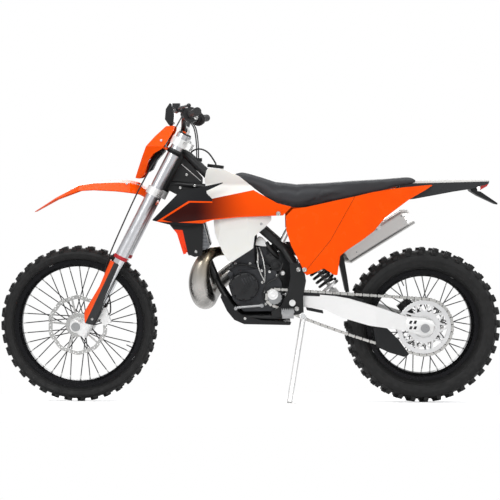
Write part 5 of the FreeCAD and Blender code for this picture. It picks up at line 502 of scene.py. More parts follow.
# Exhaust: plated steel that the port's heat has turned straw brown where the pipe leaves the cylinder.
pipe_steel, tree, shader, where = new_finish("nickel_plated_pipe_steel", "#B2B0AC", 0.26, 1.0)
cloud = node(tree, "ShaderNodeTexNoise", {"Vector": where, "Scale": per_metre(80), "Detail": 4.0})
tone = node(tree, "ShaderNodeMix", {
    0: cloud.outputs[0], 6: linear("#9C9A96"), 7: linear("#C6C4C0")}, data_type="RGBA")
port = seen_at(219, 250, 0.03)
far = node(tree, "ShaderNodeVectorMath", {0: where, 1: port}, operation="DISTANCE")
heat = node(tree, "ShaderNodeMapRange", {
    "Value": far.outputs["Value"], "From Min": 0.05, "From Max": 0.2, "To Min": 1.0, "To Max": 0.0},
    interpolation_type="SMOOTHSTEP")
tinted = node(tree, "ShaderNodeMix", {
    0: heat.outputs[0], 6: tone.outputs[2], 7: linear("#A39680")}, data_type="RGBA")
tree.links.new(tinted.outputs[2], shader.inputs["Base Color"])
uneven_skin(tree, shader, cloud.outputs[0], 0.2, 0.36)

# Silencer: a thin aluminium sleeve brushed round its length, so its highlight is drawn out.
sleeve_alloy, tree, shader, where = new_finish("brushed_aluminium_sleeve", "#DEDCD9", 0.34, 0.85)
stretched = node(tree, "ShaderNodeMapping", {"Vector": where, "Scale": (1.0, 1.0, 14.0)})
brush = node(tree, "ShaderNodeTexNoise", {
    "Vector": stretched.outputs[0], "Scale": per_metre(14), "Detail": 4.0})
uneven_skin(tree, shader, brush.outputs[0], 0.28, 0.44)

# Chain's outer plates: polished by the guide, streaked with oil.
chain_steel, tree, shader, where = new_finish("oiled_roller_chain_steel", "#C9C8C5", 0.3, 1.0)
oil = node(tree, "ShaderNodeTexNoise", {"Vector": where, "Scale": per_metre(12), "Detail": 4.0})
tone = node(tree, "ShaderNodeMix", {
    0: oil.outputs[0], 6: linear("#A9A8A4"), 7: linear("#DDDCD9")}, data_type="RGBA")
tree.links.new(tone.outputs[2], shader.inputs["Base Color"])
uneven_skin(tree, shader, oil.outputs[0], 0.24, 0.42)

# Shock spring: stove enamel on wound wire, with a narrow wet highlight on each coil.
spring_paint, tree, shader, where = new_finish("enamelled_spring_black", "#1B1C1D", 0.22, IOR=1.5)
film = node(tree, "ShaderNodeTexNoise", {"Vector": where, "Scale": per_metre(10), "Detail": 4.0})
uneven_skin(tree, shader, film.outputs[0], 0.2, 0.34)

# Radiator core: thin folded fins between flat tubes, about 3 mm apart; the colour darkens between them as painted
# shade in the gaps.
# A wave of scale 1 repeats every 1 / (2 pi) m.
core_alloy, tree, shader, where = new_finish("brazed_radiator_core", "#58595C", 0.45, 0.9)
fins = node(tree, "ShaderNodeTexWave", {
    "Vector": where, "Scale": per_metre(3.0 * math.tau)}, bands_direction="Z")
# The dark end of this colour is painted shade in the gaps between the fins.
tone = node(tree, "ShaderNodeMix", {
    0: fins.outputs[0], 6: linear("#2A2B2D"), 7: linear("#86888B")}, data_type="RGBA")
tree.links.new(tone.outputs[2], shader.inputs["Base Color"])
bump = node(tree, "ShaderNodeBump", {"Height": fins.outputs[0], "Distance": 0.001})
tree.links.new(bump.outputs[0], shader.inputs["Normal"])

# %% Metals of one even colour
# Their gloss is all that varies, by a fine noise as wide as the tool or the bath left it. Each row has a
# name and colour, roughness, share of metal, the grain in millimetres and its detail, and the gloss's two
# ends.
even_metals = (
    ("anodised_aluminium_black", "#1C1C1E", 0.28, 0.85, 20, 5.0, 0.22, 0.38),  # dyed oxide, dark and soft
    ("anodised_aluminium_silver", "#CFD0D3", 0.32, 1.0, 22, 5.0, 0.27, 0.4),  # clear oxide, a pale satin
    ("hard_chrome_polished", "#DADBDD", 0.07, 1.0, 60, 4.0, 0.05, 0.13),  # ground and plated, nearly a mirror
    ("zinc_plated_steel", "#A4A5A6", 0.34, 1.0, 8, 4.0, 0.26, 0.46),  # zinc passivated, a cool dull shine
    ("ground_stainless_steel", "#B9B9B7", 0.26, 1.0, 5, 5.0, 0.2, 0.38),  # ground flat, a bright even shine
    ("black_zinc_spoke_steel", "#2A2A2C", 0.34, 0.8, 9, 4.0, 0.26, 0.46),  # drawn wire, a thin highlight
    # This near black is also the painted shade inside the rear axle's hollow end.
    ("oiled_bush_steel_and_bore_shade", "#2E2D2B", 0.4, 1.0, 10, 4.0, 0.3, 0.5),  # oil in the bushes, nearly black
    ("machined_aluminium_bright", "#E6E6E6", 0.34, 0.85, 7, 5.0, 0.28, 0.44),  # cut plate, a bright satin
)
even_finishes = []
for name, colour, roughness, metallic, grain, detail, low, high in even_metals:
    finish, tree, shader, where = new_finish(name, colour, roughness, metallic)
    noise = node(tree, "ShaderNodeTexNoise", {"Vector": where, "Scale": per_metre(grain), "Detail": detail})
    uneven_skin(tree, shader, noise.outputs[0], low, high)
    even_finishes.append(finish)
rim_anodised, tube_anodised, hard_chrome, bare_steel = even_finishes[:4]
brake_steel, spoke_steel, oiled_steel_and_bore_shade, sprocket_alloy = even_finishes[4:]
print("with metals:", len(bpy.data.materials))

# %% Lenses and the instrument's glass
# Tail lamp: tinted clear plastic with small prisms inside, which break the light into dots.
red_lens, tree, shader, where = new_finish(
    "tinted_polycarbonate_red", "#DE1A10", 0.1, IOR=1.58, Coat_Weight=0.5)
prisms = node(tree, "ShaderNodeTexVoronoi", {"Vector": where, "Scale": per_metre(4)}, distance="CHEBYCHEV")
bump = node(tree, "ShaderNodeBump", {"Height": prisms.outputs["Distance"], "Distance": 0.0002})
tree.links.new(bump.outputs[0], shader.inputs["Normal"])

# Headlamp: clear plastic with upright flutes about 9 mm apart.
clear_lens, tree, shader, where = new_finish(
    "clear_polycarbonate_lens", "#C9CDD0", 0.06, IOR=1.58, Coat_Weight=0.5)
flutes = node(tree, "ShaderNodeTexWave", {
    "Vector": where, "Scale": per_metre(9.0 * math.tau)}, bands_direction="Y")
bump = node(tree, "ShaderNodeBump", {"Height": flutes.outputs[0], "Distance": 0.0006})
tree.links.new(bump.outputs[0], shader.inputs["Normal"])

# Instrument: glass over a dark display, wiped by a glove.
dial_glass, tree, shader, where = new_finish(
    "instrument_glass_dark", "#0B0D10", 0.05, IOR=1.5, Coat_Weight=0.6)
smear = node(tree, "ShaderNodeTexNoise", {"Vector": where, "Scale": per_metre(25), "Detail": 3.0})
uneven_skin(tree, shader, smear.outputs[0], 0.03, 0.1, span=(0, 1))

# %% Each part takes its finish
finish_of_slot = {
    "orange_plastic": orange_plastic,
    "black_plastic": black_plastic,
    "clear_tank_plastic": tank_plastic,
    "fabric_cover": saddle_vinyl,
    "tyre_rubber": tyre_rubber,
    "grip_rubber": soft_rubber,
    "black_metal": frame_coat,
    "cast_aluminium": cast_alloy,
    "dark_aluminium": engine_alloy,
    "black_engine": cover_paint,
    "pipe_steel": pipe_steel,
    "bare_steel": bare_steel,
    "chrome_tube": hard_chrome,
    "chain_steel": chain_steel,
    "red_lens": red_lens,
    "lamp_lens": clear_lens,
    "white_spring": spring_paint,
    "radiator_core": core_alloy,
}
for part in frame["record"]["subparts"]:
    part_object = nodes[part["node"]]
    part_object.data.materials.clear()
    part_object.data.materials.append(finish_of_slot[part["material_slot"]])
finish_of_node = {
    "front_rim": rim_anodised, "rear_rim": rim_anodised, "front_disc": brake_steel, "rear_disc": brake_steel,
    "fork_tubes": tube_anodised, "silencer": sleeve_alloy, "rear_sprocket": sprocket_alloy,
    "shrouds": shroud_plastic, "side_panels": panel_plastic, "rear_fender": tail_plastic,
    "radiator_covers": louvre_plastic,
    "headlight_mask": mask_plastic, "front_spokes": spoke_steel, "rear_spokes": spoke_steel,
    "fork_guards": guard_plastic, "front_caliper": cast_alloy,
}
for name, finish in finish_of_node.items():
    nodes[name].data.materials[0] = finish
print("finishes in use:", len({m.name for n in nodes.values() for m in n.data.materials}))

# %% [markdown]
# ## Modelling by hand, in code
#
# The pieces below are modelled as one would at the screen: add a primitive at its size, select some of its
# faces, and inset, extrude, bevel or scale them. Two helpers stand for the mouse. One leaves a single piece
# selected and active. The other opens it in edit mode with the faces that pass a test. What repeats, such as
# a bolt, is modelled once at the origin, standing on its foot, and copied with its own mesh to every place.

# %% Select, shape, copy and join
def only(piece):
    """Leaves one piece selected and active."""
    bpy.ops.object.select_all(action="DESELECT")
    piece.select_set(True)
    bpy.context.view_layer.objects.active = piece


def edit_faces(piece, test):
    """Opens the piece in edit mode with the faces selected that pass a test of centre and normal."""
    only(piece)
    bpy.ops.object.mode_set(mode="EDIT")
    bpy.ops.mesh.select_mode(type="FACE")
    bpy.ops.mesh.select_all(action="DESELECT")
    bpy.ops.object.mode_set(mode="OBJECT")
    for face in piece.data.polygons:
        face.select = test(face.center, face.normal)
    bpy.ops.object.mode_set(mode="EDIT")


def leave_edit():
    bpy.ops.object.mode_set(mode="OBJECT")


def bevel_sharp(piece, width, segments=2, sharp_deg=30):
    """Rounds every edge that turns more than an angle."""
    only(piece)
    rounding = piece.modifiers.new("rounding", "BEVEL")
    rounding.width, rounding.segments = width, segments
    rounding.limit_method, rounding.angle_limit = "ANGLE", math.radians(sharp_deg)
    bpy.ops.object.modifier_apply(modifier=rounding.name)
    bpy.ops.object.shade_smooth_by_angle(angle=math.radians(35))


def axes_at(at, outward, along=None):
    """A matrix that stands the model's Z on outward, with its X as near as can be to along."""
    z = Vector(outward).normalized()
    x = Vector(along) if along is not None else (forward if abs(z.dot(forward)) < 0.9 else up)
    x = (x - z * x.dot(z)).normalized()
    return Matrix.Translation(at) @ Matrix((x, z.cross(x), z)).transposed().to_4x4()


def copy_of(model, spot=None):
    """A copy with its own mesh, moved by a matrix."""
    copy = model.copy()
    copy.data = model.data.copy()
    if spot:
        copy.data.transform(spot)
    bpy.context.scene.collection.objects.link(copy)
    return copy


def joined(pieces, name):
    """One piece made of several."""
    only(pieces[0])
    for piece in pieces:
        piece.select_set(True)
    if len(pieces) > 1:
        bpy.ops.object.join()
    pieces[0].name = name
    return pieces[0]


def set_out(model, name, spots, finish, body):
    """One piece made of a copy of the model at every spot; each spot is a matrix."""
    return finished(joined([copy_of(model, spot) for spot in spots], name), finish, body)


def finished(piece, finish, body):
    """Gives a piece its finish and makes it ride on its body."""
    piece.data.materials.clear()
    piece.data.materials.append(finish)
    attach(piece, body)
    return piece


def put_away(*models):
    """Removes models that have been copied to their places."""
    for model in models:
        bpy.data.objects.remove(model, do_unlink=True)


# %% [markdown]
# ## Tyres
#
# An off-road tyre is a rounded carcass with rubber blocks on it. Three blocks sit in each of its 36 rows: a
# wide one across the crown, and one on each shoulder, set on by over a quarter of a row so that they grip
# in between. The carcass starts as a torus, whose rings are moved onto the tyre's real section. A block
# starts as a cube, narrowed towards its top, grooved, and rounded a little, as rubber comes out of a mould.

# %% Model one tread block
def tread_block(length, width, height, groove):
    """A block standing on Z = 0, long in X and wide in Y, with a groove across its top."""
    root, groove_depth, top_share = 0.003, 0.22, 0.88
    bpy.ops.object.select_all(action="DESELECT")
    bpy.ops.mesh.primitive_cube_add(size=1, location=(0, 0, (height - root) / 2))
    block = bpy.context.object
    block.scale = (length, width, height + root)
    bpy.ops.object.transform_apply(location=True, scale=True)
    for side in (-1, 1):
        bpy.ops.object.mode_set(mode="EDIT")
        bpy.ops.mesh.select_all(action="SELECT")
        bpy.ops.mesh.bisect(plane_co=(0, side * groove / 2, 0), plane_no=(0, 1, 0))
        leave_edit()
    edit_faces(block, lambda centre, normal: normal.z > 0.9 and abs(centre.y) < groove / 4)
    bpy.ops.transform.translate(value=(0, 0, -height * groove_depth))
    leave_edit()
    edit_faces(block, lambda centre, normal: normal.z > 0.9)
    bpy.ops.transform.resize(value=(top_share, top_share, 1), center_override=(0, 0, height))
    leave_edit()
    bevel_sharp(block, 0.0011)
    return block


# %% The carcass from a torus
def carcass(section, segments=144):
    """A ring about Z from a closed half section of side and radius, mirrored to the other side."""
    loop = section + [(-side, radius) for side, radius in reversed(section[1:-1])]
    bpy.ops.object.select_all(action="DESELECT")
    bpy.ops.mesh.primitive_torus_add(
        major_segments=segments, minor_segments=len(loop), major_radius=0.3, minor_radius=0.05)
    ring = bpy.context.object
    for number, vertex in enumerate(ring.data.vertices):
        side, radius = loop[number % len(loop)]
        turn = math.tau * (number // len(loop)) / segments
        vertex.co = (radius * math.cos(turn), radius * math.sin(turn), side)
    only(ring)
    bpy.ops.object.mode_set(mode="EDIT")
    bpy.ops.mesh.select_all(action="SELECT")
    bpy.ops.mesh.normals_make_consistent(inside=False)
    leave_edit()
    bpy.ops.object.shade_smooth_by_angle(angle=math.radians(40))
    return ring


# %% Both tyres, in the machine's directions
def knobby_tyre(name, body, axle, half, rim, rim_half, height, lug, crown_share, shoulder_share, wall_share):
    """A tyre with 36 rows of blocks; the shares are of its half width and of the carcass's height."""
    rows, shoulder_lag = 36, 0.28
    tall = height - lug
    crown = rim + tall
    section = [
        (0.0, crown + 0.0006), (half * 0.3, crown + 0.0003), (half * crown_share, crown - 0.001),
        (half * 0.72, crown - tall * 0.09), (half * 0.88, crown - tall * 0.18),
        (half * 0.94, rim + tall * shoulder_share), (half * 0.985, rim + tall * 0.6),
        (half * 0.98, rim + tall * 0.52), (half * 0.962, rim + tall * 0.5),
        (half * 0.95, rim + tall * wall_share), (half * 0.9, rim + tall * 0.3),
        (half * 0.845, rim + tall * 0.21), (half * 0.86, rim + tall * 0.19),
        (half * 0.835, rim + tall * 0.165), (half * 0.72, rim + tall * 0.09),
        (rim_half * 0.97, rim + 0.002), (rim_half * 0.94, rim + 0.0004), (0.0, rim + 0.0004),
    ]
    ring = carcass(section)
    ring.data.transform(axes_at(axle, left, forward))
    pieces = [ring]
    pitch = math.tau / rows
    face = crown * 2 * math.tan(pitch / 2)
    shoulder_r = rim + tall * shoulder_share
    band = Vector((half * 0.43, crown - shoulder_r))
    wide = tread_block(face * 0.4, half * 0.84, lug, 0.0035)
    narrow = tread_block(face * 0.36, band.length * 0.84, lug, 0.002)
    for row in range(rows):
        turn = math.pi + row * pitch
        outward = forward * math.sin(turn) + up * math.cos(turn)
        along = forward * math.cos(turn) - up * math.sin(turn)
        spots = [(wide, axes_at(axle + outward * crown, outward, along))]
        turn += shoulder_lag * pitch
        outward = forward * math.sin(turn) + up * math.cos(turn)
        along = forward * math.cos(turn) - up * math.sin(turn)
        for side in (1, -1):
            foot = axle + outward * (crown + shoulder_r) / 2 + left * side * half * 0.715
            slant = (outward * band.x + left * side * band.y).normalized()
            spots.append((narrow, axes_at(foot, slant, along)))
        pieces += [copy_of(model, spot) for model, spot in spots]
    put_away(wide, narrow)
    finished(joined(pieces, name), tyre_rubber, body)
    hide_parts(body.replace("wheel", "tyre"))
    print(name, "faces:", len(ring.data.polygons))


knobby_tyre("front_tyre_tread", "front_wheel", front_axle, 0.052, 0.279, 0.027, 0.061, 0.012, 0.5, 0.76, 0.4)
knobby_tyre("rear_tyre_tread", "rear_wheel", rear_axle, 0.072, 0.241, 0.034, 0.096, 0.015, 0.5, 0.80, 0.42)

# %% [markdown]
# ## Spoke nipples
#
# A nipple is the small threaded sleeve that pulls each spoke tight at the rim. The spokes are separate rods
# in the part, so their outer ends can be measured: each rod's points furthest from the axle give the place,
# and the rod's own direction gives the axis.

# %% Find the spokes' ends and screw a nipple on each
def loose_parts(mesh):
    """The points of each separate rod."""
    parent = list(range(len(mesh.vertices)))

    def root(number):
        while parent[number] != number:
            parent[number] = parent[parent[number]]
            number = parent[number]
        return number

    where_seen = {}
    for vertex in mesh.vertices:
        key = tuple(round(c, 6) for c in vertex.co)
        if key in where_seen:
            parent[root(vertex.index)] = root(where_seen[key])
        where_seen[key] = vertex.index
    for edge in mesh.edges:
        parent[root(edge.vertices[0])] = root(edge.vertices[1])
    groups = {}
    for vertex in mesh.vertices:
        groups.setdefault(root(vertex.index), []).append(vertex.co.copy())
    return list(groups.values())


bpy.ops.object.select_all(action="DESELECT")
bpy.ops.mesh.primitive_cylinder_add(vertices=8, radius=0.0034, depth=0.016, location=(0, 0, -0.008))
nipple = bpy.context.object
bpy.ops.object.transform_apply(location=True)
edit_faces(nipple, lambda centre, normal: normal.z < -0.9)
bpy.ops.transform.resize(value=(0.7, 0.7, 1), center_override=(0, 0, -0.016))
leave_edit()
bevel_sharp(nipple, 0.0006, 1)
end_span = 0.006
for wheel, axle in (("front", front_axle), ("rear", rear_axle)):
    spots = []
    for rod in loose_parts(nodes[wheel + "_spokes"].data):
        reach = [(p - axle - left * (p - axle).dot(left)).length for p in rod]
        outer_end = [p for p, r in zip(rod, reach) if r > max(reach) - end_span]
        inner_end = [p for p, r in zip(rod, reach) if r < min(reach) + end_span]
        tip, foot = sum(outer_end, Vector()) / len(outer_end), sum(inner_end, Vector()) / len(inner_end)
        along = (tip - foot).normalized()
        spots.append(axes_at(tip - along * 0.001, along))
    set_out(nipple, wheel + "_spoke_nipples", spots, brake_steel, wheel + "_wheel")
    print(wheel, "nipples:", len(spots))
put_away(nipple)

# %% [markdown]
# ## Where a small thing sits
#
# A bolt or a rivet is placed where the photograph shows it, but it has to sit on the part that carries it.
# So a ray is sent from the camera's place through the pixel, and where it meets the part's surface is the
# foot of the bolt, with the surface's own slope. The far side is the same thing in a mirror.

# %% Selecting points, and finding a foot on a part
def edit_points(piece, test):
    """Opens the piece in edit mode with the points selected that pass a test of their place."""
    only(piece)
    bpy.ops.object.mode_set(mode="EDIT")
    bpy.ops.mesh.select_mode(type="VERT")
    bpy.ops.mesh.select_all(action="DESELECT")
    bpy.ops.object.mode_set(mode="OBJECT")
    for point in piece.data.vertices:
        point.select = test(point.co)
    bpy.ops.object.mode_set(mode="EDIT")


skins = {}


def skin_of(name):
    """A part's surface, made ready for rays."""
    if name not in skins:
        mesh = bmesh.new()
        mesh.from_mesh(nodes[name].data)
        skins[name] = BVHTree.FromBMesh(mesh)
        mesh.free()
    return skins[name]


def foot_on(name, across_px, down_px, far=False, sink=0.0003):
    """A matrix at the part's surface under a pixel, with Z outwards; far takes the mirrored place."""
    start, through = place(camera_ahead, camera_distance, camera_height), seen_at(across_px, down_px, 0.0)
    middle = place(0, 0, 0)
    if far:
        start, through = (p - left * 2 * (p - middle).dot(left) for p in (start, through))
    aim = (through - start).normalized()
    spot, slope, _, _ = skin_of(name).ray_cast(start, aim)
    if spot is None:
        print("no part", name, "under", across_px, down_px)
        return None
    if slope.dot(aim) > 0:
        slope = -slope
    return axes_at(spot - slope * sink, slope)


def feet_on(name, across_px, down_px):
    """The feet under a pixel and at its mirrored place, if the part is there."""
    feet = [foot_on(name, across_px, down_px, far) for far in (False, True)]
    return [foot for foot in feet if foot]


def rod_model(radius, length, sides=16, top_share=1.0, bevel=0.0004):
    """A short round bar standing on Z = 0, its top face scaled."""
    bpy.ops.object.select_all(action="DESELECT")
    bpy.ops.mesh.primitive_cylinder_add(
        vertices=sides, radius=radius, depth=length, location=(0, 0, length / 2))
    bar = bpy.context.object
    bpy.ops.object.transform_apply(location=True)
    edit_faces(bar, lambda centre, normal: normal.z > 0.9)
    bpy.ops.transform.resize(value=(top_share, top_share, 1), center_override=(0, 0, length))
    leave_edit()
    if bevel:
        bevel_sharp(bar, bevel, 2 if sides > 12 else 1)
    return bar


def recess(piece, wall, depth):
    """Sinks the middle of a round bar's top face, or raises it where the depth is negative."""
    edit_faces(piece, lambda centre, normal: normal.z > 0.9 and centre.xy.length < 0.001)
    bpy.ops.mesh.inset(thickness=wall)
    bpy.ops.mesh.extrude_region_move(TRANSFORM_OT_translate={"value": (0, 0, -depth)})
    leave_edit()
    return piece


# %% [markdown]
# ## Chain
#
# A roller chain is made of two kinds of link in turn: inner links with bushes and rollers, and outer links
# whose pins are riveted over. One of each is modelled, and they are set along the line that the solid chain
# follows, round both sprockets with a little slack below.

# %% The chain's line and its pins
countershaft = place(0.640059, 0, 0.463927)
pitch_radii = (0.035672, 0.121364)
chain_pitch = 0.015875
chain_side = 0.088
chain_sag = 0.014


def arc_points(centre, radius, start, end, count):
    """Points on an arc in the machine's middle plane."""
    turns = [start + (end - start) * k / count for k in range(count + 1)]
    return [centre + (forward * math.cos(t) + up * math.sin(t)) * radius for t in turns]


gap = countershaft - rear_axle
slope = math.atan2(gap.dot(up), gap.dot(forward))
spread = math.acos((pitch_radii[1] - pitch_radii[0]) / gap.length)
front_arc = arc_points(countershaft, pitch_radii[0], slope + spread, slope - spread, 90)
rear_arc = arc_points(rear_axle, pitch_radii[1], slope - spread, slope + spread - math.tau, 200)
low_start, low_end = front_arc[-1], rear_arc[0]
shares = [k / 120 for k in range(1, 120)]
sag = [low_start.lerp(low_end, share) - up * chain_sag * 4 * share * (1 - share) for share in shares]
line = front_arc + sag + rear_arc
line.append(line[0])
lengths = [0.0]
for a, b in zip(line, line[1:]):
    lengths.append(lengths[-1] + (b - a).length)
links = 2 * round(lengths[-1] / chain_pitch / 2)
pins, step = [], 0
for k in range(links):
    wanted = lengths[-1] * k / links
    while lengths[step + 1] < wanted:
        step += 1
    share = (wanted - lengths[step]) / (lengths[step + 1] - lengths[step])
    pins.append(line[step].lerp(line[step + 1], share) + left * chain_side)
print("chain links:", links, "pitch", round(lengths[-1] / links * 1000, 3), "mm")

# %% One inner and one outer link
def link_plate(side, thickness, height):
    """A waisted plate in the XY plane, its pins a pitch apart along X."""
    half = chain_pitch / 2
    bpy.ops.object.select_all(action="DESELECT")
    bpy.ops.mesh.primitive_cylinder_add(vertices=14, radius=height, depth=thickness, location=(0, 0, side))
    plate = bpy.context.object
    bpy.ops.object.transform_apply(location=True)
    for way in (-1, 1):
        edit_points(plate, lambda point: point.x * way > 0.0001)
        bpy.ops.transform.translate(value=(way * half, 0, 0))
        leave_edit()
    only(plate)
    bpy.ops.object.mode_set(mode="EDIT")
    bpy.ops.mesh.select_all(action="SELECT")
    bpy.ops.mesh.bisect(plane_co=(0, 0, 0), plane_no=(1, 0, 0))
    leave_edit()
    edit_points(plate, lambda point: abs(point.x) < 0.0003)
    bpy.ops.transform.resize(value=(1, 0.66, 1), center_override=(0, 0, side))
    leave_edit()
    return plate


def link_model(plate_side, thickness, height, bar_radius, bar_half):
    """Two plates and the two round bars between or through them."""
    pieces = [link_plate(side, thickness, height) for side in (plate_side, -plate_side)]
    for way in (-1, 1):
        bar = rod_model(bar_radius, 2 * bar_half, 10, 1.0, 0)
        bar.data.transform(Matrix.Translation((way * chain_pitch / 2, 0, -bar_half)))
        pieces.append(bar)
    return joined(pieces, "link")


inner_link = link_model(0.0034, 0.0016, 0.0071, 0.0050, 0.0026)
outer_link = link_model(0.0055, 0.0015, 0.0071, 0.0028, 0.0069)
spots = {0: [], 1: []}
for k, pin in enumerate(pins):
    after = pins[(k + 1) % links]
    spots[k % 2].append(axes_at((pin + after) / 2, left, after - pin))
inner = set_out(inner_link, "chain_inner_links", spots[0], oiled_steel_and_bore_shade, "chassis")
outer = set_out(outer_link, "chain_outer_links", spots[1], chain_steel, "chassis")
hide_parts("chain")
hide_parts("chain")
put_away(inner_link, outer_link)
print("chain faces:", len(inner.data.polygons) + len(outer.data.polygons))

# %% [markdown]
# ## Brake hose and tank breather
#
# Both hoses are held at both ends, so their length is what the route needs. The front brake hose leaves the
# master cylinder at the right grip, crosses behind the headlamp mask, and follows the left fork leg down to
# the caliper. Each is a smooth spline through open air that ends inside the part's own fitting.

# %% The two hoses as smooth splines
def tube_along(name, points, radius, steps, finish):
    """A round hose or cable along a smooth spline of order 3 that the points steer."""
    curve = bpy.data.curves.new(name, "CURVE")
    curve.dimensions = "3D"
    spline = curve.splines.new("NURBS")
    spline.points.add(len(points) - 1)
    for point, spot in zip(spline.points, points):
        point.co = (*spot, 1)
    spline.order_u = 3
    spline.use_endpoint_u = True
    spline.resolution_u = steps
    curve.bevel_depth, curve.bevel_resolution, curve.use_fill_caps = radius, 3, True
    made = bpy.data.objects.new(name, curve)
    bpy.context.scene.collection.objects.link(made)
    made.data.materials.append(finish)
    return made


master = place(0.993924, -0.261009, 1.233338)
bar_along = (forward * -0.26998232 - left * 0.95993713 + up * 0.07503509).normalized()
banjo_ahead, banjo_along = 0.052, -0.0393
hose_start = master + fork_ahead * banjo_ahead + bar_along * banjo_along
hose_route = (
    (0.952, 0.084, -0.176), (0.908, 0.082, -0.118), (0.874, 0.080, -0.060), (0.858, 0.078, 0.0),
    (0.838, 0.077, 0.054), (0.796, 0.078, 0.092), (0.730, 0.082, 0.106), (0.650, 0.084, 0.108),
    (0.570, 0.082, 0.108), (0.490, 0.078, 0.108), (0.410, 0.074, 0.108), (0.345, 0.070, 0.100),
    (0.292, 0.064, 0.082), (0.246, 0.050, 0.068), (0.206, 0.022, 0.063), (0.172, -0.010, 0.066),
    (0.136, -0.036, 0.072), (0.100, -0.050, 0.076),
)
hose_end = place(1.37482, 0.06035, 0.37711) + up * 0.019
hose_points = [hose_start] + [fork_spot(*spot) for spot in hose_route] + [hose_end]
breather_pixels = (
    (213.4, 155.5), (208.6, 149.8), (201.5, 147.0), (194.6, 148.6), (191.0, 153.2), (189.6, 158.5))
cap_lean = (up - forward * 0.12).normalized()
breather_start = place(0.89666, 0, 1.01630) + cap_lean * 0.0183
breather_points = [breather_start] + [seen_at(*px) for px in breather_pixels]
for name, points, radius, body, stands_for in (
    ("front_brake_line", hose_points, 0.0032, "steering", "brake_hose"),
    ("tank_breather", breather_points, 0.0035, "chassis", "vent_hose"),
):
    hose = tube_along(name, points, radius, 6, hose_rubber)
    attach(hose, body)
    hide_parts(stands_for)
print("hoses made")

# %% [markdown]
# ## Saddle
#
# The saddle is foam under a stretched vinyl cover. The solid gives its outline, and a short cloth
# simulation with a little pressure inside gives the skin its soft crown, as foam pushes a cover out. The
# way that each point may move is capped, at five millimetres, and at two low down where the seat rests on
# the tank, so the pad stays seated.

# %% Let the foam push the cover out
skin_step = 0.005
cloth_frames = 20
foam_pressure = 4.0
padded_from = 0.70
cap_above, cap_below = 0.005, 0.002
seat_copy = copy_of(nodes["seat_pad"])
seat_copy.name = seat_copy.data.name = "saddle"
only(seat_copy)
bpy.ops.object.mode_set(mode="EDIT")
bpy.ops.mesh.select_all(action="SELECT")
bpy.ops.mesh.remove_doubles(threshold=0.00005)
bpy.ops.mesh.normals_make_consistent(inside=False)
leave_edit()
remesh = seat_copy.modifiers.new("even_skin", "REMESH")
remesh.mode, remesh.voxel_size = "VOXEL", skin_step
bpy.ops.object.modifier_apply(modifier=remesh.name)
seat_points = [point.co.copy() for point in seat_copy.data.vertices]
cloth = seat_copy.modifiers.new("cover", "CLOTH")
cloth.settings.use_pressure = True
cloth.settings.uniform_pressure_force = foam_pressure
cloth.settings.effector_weights.gravity = 0.0
cloth.point_cache.frame_start, cloth.point_cache.frame_end = 1, cloth_frames
for moment in range(1, cloth_frames + 1):
    bpy.context.scene.frame_set(moment)
seen_now = seat_copy.evaluated_get(bpy.context.evaluated_depsgraph_get()).data
swollen = [point.co.copy() for point in seen_now.vertices]
seat_copy.modifiers.remove(cloth)
most = 0.0
for point, before, after in zip(seat_copy.data.vertices, seat_points, swollen):
    push = after - before
    most = max(most, push.length)
    height = (before - rear_axle).dot(up) + rear_axle_height
    cap = cap_above if height > padded_from else cap_below
    point.co = before + push * min(1.0, cap / push.length if push.length > 0 else 1.0)
bpy.context.scene.frame_set(1)
print("cover moved at most", round(most * 1000, 1), "mm before the cap")
only(seat_copy)
relax = seat_copy.modifiers.new("relax", "SMOOTH")
relax.factor, relax.iterations = 0.5, 4
bpy.ops.object.modifier_apply(modifier=relax.name)
finer = seat_copy.modifiers.new("finer", "SUBSURF")
finer.levels = finer.render_levels = 1
bpy.ops.object.modifier_apply(modifier=finer.name)
bpy.ops.object.shade_smooth()
finished(seat_copy, saddle_vinyl, "chassis")
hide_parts("seat_pad")
print("saddle faces:", len(seat_copy.data.polygons))

# %% [markdown]
# ## Brake discs
#
# An off-road disc is stamped from stainless steel with a wavy edge, and drilled all round, so that mud and
# heat get away. The solid has the wave and the arms. The holes are cut here: one drill is modelled, set out
# in two rows round the ring, and taken away from a copy of the disc.

# %% Drill the discs
def drilled_disc(node_name, name, body, axle, side, rows, drill_radius):
    """A copy of a disc with rows of holes; each row is a radius, a count and a first turn."""
    disc = copy_of(nodes[node_name])
    disc.name = disc.data.name = name
    only(disc)
    bpy.ops.object.mode_set(mode="EDIT")
    bpy.ops.mesh.select_all(action="SELECT")
    bpy.ops.mesh.remove_doubles(threshold=0.00002)
    leave_edit()
    drill_length = 0.02
    drill = rod_model(drill_radius, drill_length, 12, 1.0, 0)
    drills = []
    for radius, count, first in rows:
        for k in range(count):
            turn = math.radians(first) + math.tau * k / count
            outwards = (forward * math.cos(turn) + up * math.sin(turn)) * radius
            spot = axle + outwards + left * (side - drill_length / 2)
            drills.append(copy_of(drill, axes_at(spot, left, forward)))
    put_away(drill)
    cutter = joined(drills, name + "_drills")
    only(disc)
    cut = disc.modifiers.new("holes", "BOOLEAN")
    cut.operation, cut.solver, cut.object = "DIFFERENCE", "EXACT", cutter
    bpy.ops.object.modifier_apply(modifier=cut.name)
    put_away(cutter)
    only(disc)
    bpy.ops.object.shade_smooth_by_angle(angle=math.radians(35))
    finished(disc, brake_steel, body)
    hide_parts(node_name)
    print(name, "faces:", len(disc.data.polygons))


front_holes, rear_holes = ((0.1195, 40, 0.0), (0.1245, 20, 4.5)), ((0.0995, 36, 0.0), (0.1045, 18, 5.0))
drilled_disc("front_disc", "front_brake_disc", "front_wheel", front_axle, 0.060, front_holes, 0.0026)
drilled_disc("rear_disc", "rear_brake_disc", "rear_wheel", rear_axle, -0.074, rear_holes, 0.0026)

# %% [markdown]
# ## Bolts
#
# The machine is held together by flanged hex bolts in a few sizes. One is modelled per size: a washer face,
# and a hex head with a rounded edge and a shallow dish on top. They are set where the photograph shows
# them, and mirrored where the other side has the same part.

